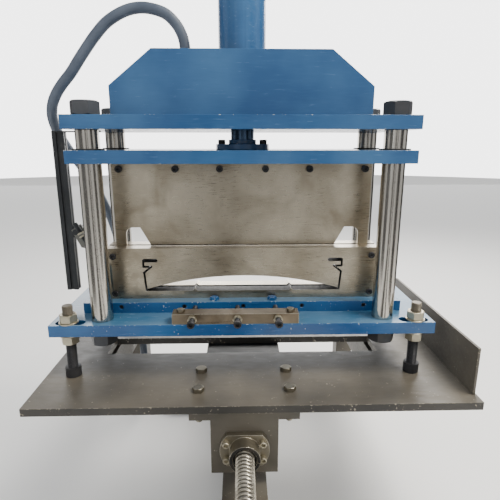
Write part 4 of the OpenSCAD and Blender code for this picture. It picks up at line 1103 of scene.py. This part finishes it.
def weld(points, bead=BEAD):
    """A bead along straight runs or a circle: its radius ripples once every RIPPLE, and its
    ends taper off."""
    run = np.concatenate([[0], np.cumsum(np.linalg.norm(np.diff(points, axis=0), axis=1))])
    taper = np.clip(np.minimum(run, run[-1] - run) / bead, 0.25, 1)
    radius = bead * taper * (0.93 + 0.07 * np.cos(2 * np.pi * run / RIPPLE))
    return carried(points, radius, 16)


def straight(start, end, step=0.0007):
    """Points from start to end, one every step."""
    count = int(np.linalg.norm(np.subtract(end, start)) / step)
    return np.linspace(start, end, count)


top_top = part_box("top_plate")[1][2]
gusset_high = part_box("gusset_front")[1]
inner = gusset_high[1]      # the inner face of the front gusset
gusset_welds = [weld(straight((side * FOOT_HALF, face * inner, top_top),
                              (side * (gusset_high[0] - BEAD_END), face * inner, top_top)))
                for side in (-1, 1) for face in (-1, 1)]
add_piece("gusset_welds", make_mesh("gusset_welds", gusset_welds), head_paint, "carriage")
tube_r = abs(inner) - GUSSET_GAP
circle = np.linspace(0, 2 * np.pi, 500)
ring_line = np.stack([tube_r * np.cos(circle), tube_r * np.sin(circle),
                      0 * circle + top_top + FOOT_PLATE], axis=-1)
add_piece("cylinder_weld", make_mesh("cylinder_weld", [weld(ring_line)]), head_paint, "carriage")
guard_low, guard_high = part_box("side_guard")
guard_line = straight((guard_high[0], guard_low[1] + BEAD_END, guard_low[2]),
                      (guard_high[0], guard_high[1] - BEAD_END, guard_low[2]))
add_piece("guard_weld", make_mesh("guard_weld", [weld(guard_line, GUARD_BEAD)]), bed_paint,
          "carriage")

# %% [markdown]
# ## Floor and light
# The floor is a plain pale sheet, and a pale wall that only the camera sees stands far
# round it. A wide soft light hangs above and to the right, a weaker one fills from the
# left, and a third lights the back. Polished posts need something to mirror, so a bright
# backdrop, some dark screens and two dark mats stand where only reflections see them.

# %% Floor, wall and backdrop
FLOOR_HALF = 14
BACKDROP_FAR, BACKDROP_HIGH = 9.0, 9.0
WALL_R, WALL_SIDES = 13.0, 64
MIRRORED_ONLY = ("camera", "diffuse", "shadow")
CAMERA_ONLY = ("glossy", "diffuse", "shadow")


def plain(name, colour, roughness, glow=None):
    """A stage material of one colour, which may shine by itself."""
    material, _, shader = blank(name, 0.0, roughness)
    shader.inputs["Base Color"].default_value = (*colour, 1)
    if glow is not None:
        shader.inputs["Emission Color"].default_value = (1, 1, 1, 1)
        shader.inputs["Emission Strength"].default_value = glow
    return material


def stage_sheet(name, corners, material, faces=((0, 1, 2, 3),), hidden=()):
    """A sheet of the studio, hidden from the kinds of rays that are named."""
    mesh = bpy.data.meshes.new(name)
    mesh.from_pydata(corners, [], faces)
    mesh.materials.append(material)
    sheet = bpy.data.objects.new(name, mesh)
    scene.collection.objects.link(sheet)
    for rays in hidden:
        setattr(sheet, "visible_" + rays, False)


def level(low, high, z=0):
    """Corners of a level sheet between two (x, y) corners."""
    return [(low[0], low[1], z), (high[0], low[1], z), (high[0], high[1], z),
            (low[0], high[1], z)]


def upright(left, right, height):
    """Corners of a sheet that stands on the floor between two (x, y) places."""
    return [(*left, 0), (*right, 0), (*right, height), (*left, height)]


stage_sheet("floor", level((-FLOOR_HALF, -FLOOR_HALF), (FLOOR_HALF, FLOOR_HALF)),
            plain("pale_floor", (0.86, 0.86, 0.85), 0.8))
bright = plain("bright_backdrop", (0.9, 0.9, 0.9), 1.0, glow=3.5)
stage_sheet("bright_backdrop",
            upright((-FLOOR_HALF, BACKDROP_FAR), (FLOOR_HALF, BACKDROP_FAR), BACKDROP_HIGH),
            bright, hidden=MIRRORED_ONLY)
wall = turned([(WALL_R, 0), (WALL_R, BACKDROP_HIGH)], WALL_SIDES)
stage_sheet("pale_wall", wall.reshape(-1, 3).tolist(), bright,
            ring_faces(2, WALL_SIDES, 0, False)[:WALL_SIDES], CAMERA_ONLY)

# %% Lights
AIM = np.array([0.0, 0.0, 0.65])
SKY_STRENGTH = 0.8
world = bpy.data.worlds.new("studio")
world.use_nodes = True
world.node_tree.nodes["Background"].inputs["Color"].default_value = (1, 1, 1, 1)
world.node_tree.nodes["Background"].inputs["Strength"].default_value = SKY_STRENGTH
scene.world = world


def soft_light(name, place, size, power, colour):
    """A square area light that faces the middle of the machine."""
    data = bpy.data.lights.new(name, "AREA")
    data.shape = "SQUARE"
    data.size = size
    data.energy = power
    data.color = colour
    light = bpy.data.objects.new(name, data)
    scene.collection.objects.link(light)
    light.location = place
    way = AIM - np.array(place)
    light.rotation_euler = (math.atan2(math.hypot(way[0], way[1]), -way[2]), 0,
                            math.atan2(way[1], way[0]) - math.pi / 2)


soft_light("key_light", (1.5, -0.7, 2.8), 1.2, 110, (1.0, 0.955, 0.88))
soft_light("fill_light", (-2.2, -1.8, 1.6), 1.8, 24, (0.92, 0.96, 1.0))
soft_light("back_light", (0.9, 2.2, 2.6), 1.6, 110, (1.0, 0.97, 0.92))

# %% Dark screens and mats
SCREEN_DISTANCE, SCREEN_HEIGHT = 1.9, 2.6
SCREENS = {"screen_left": (-52, 1.3), "screen_right": (50, 0.9),
           "screen_far_right": (115, 1.6), "screen_far_left": (-122, 1.3)}
MAT_NEAR, MAT_FAR, MAT_Z, MAT_SCREEN_HIGH = -0.8, -2.8, 2 * MM, 1.15
MATS = [(-0.5, 0.1), (0.45, 0.75)]
dark = plain("dark_screen", (0.03, 0.03, 0.032), 0.9)
for name, (degrees, width) in SCREENS.items():
    turn_to = math.radians(degrees)
    centre = np.array([math.sin(turn_to), -math.cos(turn_to)]) * SCREEN_DISTANCE
    across = np.array([math.cos(turn_to), math.sin(turn_to)]) * width / 2
    stage_sheet(name, upright(centre - across, centre + across, SCREEN_HEIGHT), dark,
                hidden=MIRRORED_ONLY)
for number, (left, right) in enumerate(MATS):
    stage_sheet("mat_" + str(number), level((left, MAT_FAR), (right, MAT_NEAR), MAT_Z), dark,
                hidden=MIRRORED_ONLY)
    stage_sheet("mat_screen_" + str(number),
                upright((left, MAT_FAR), (right, MAT_FAR), MAT_SCREEN_HIGH), dark,
                hidden=MIRRORED_ONLY)
print("dark screens:", len(SCREENS), "and mats:", len(MATS))
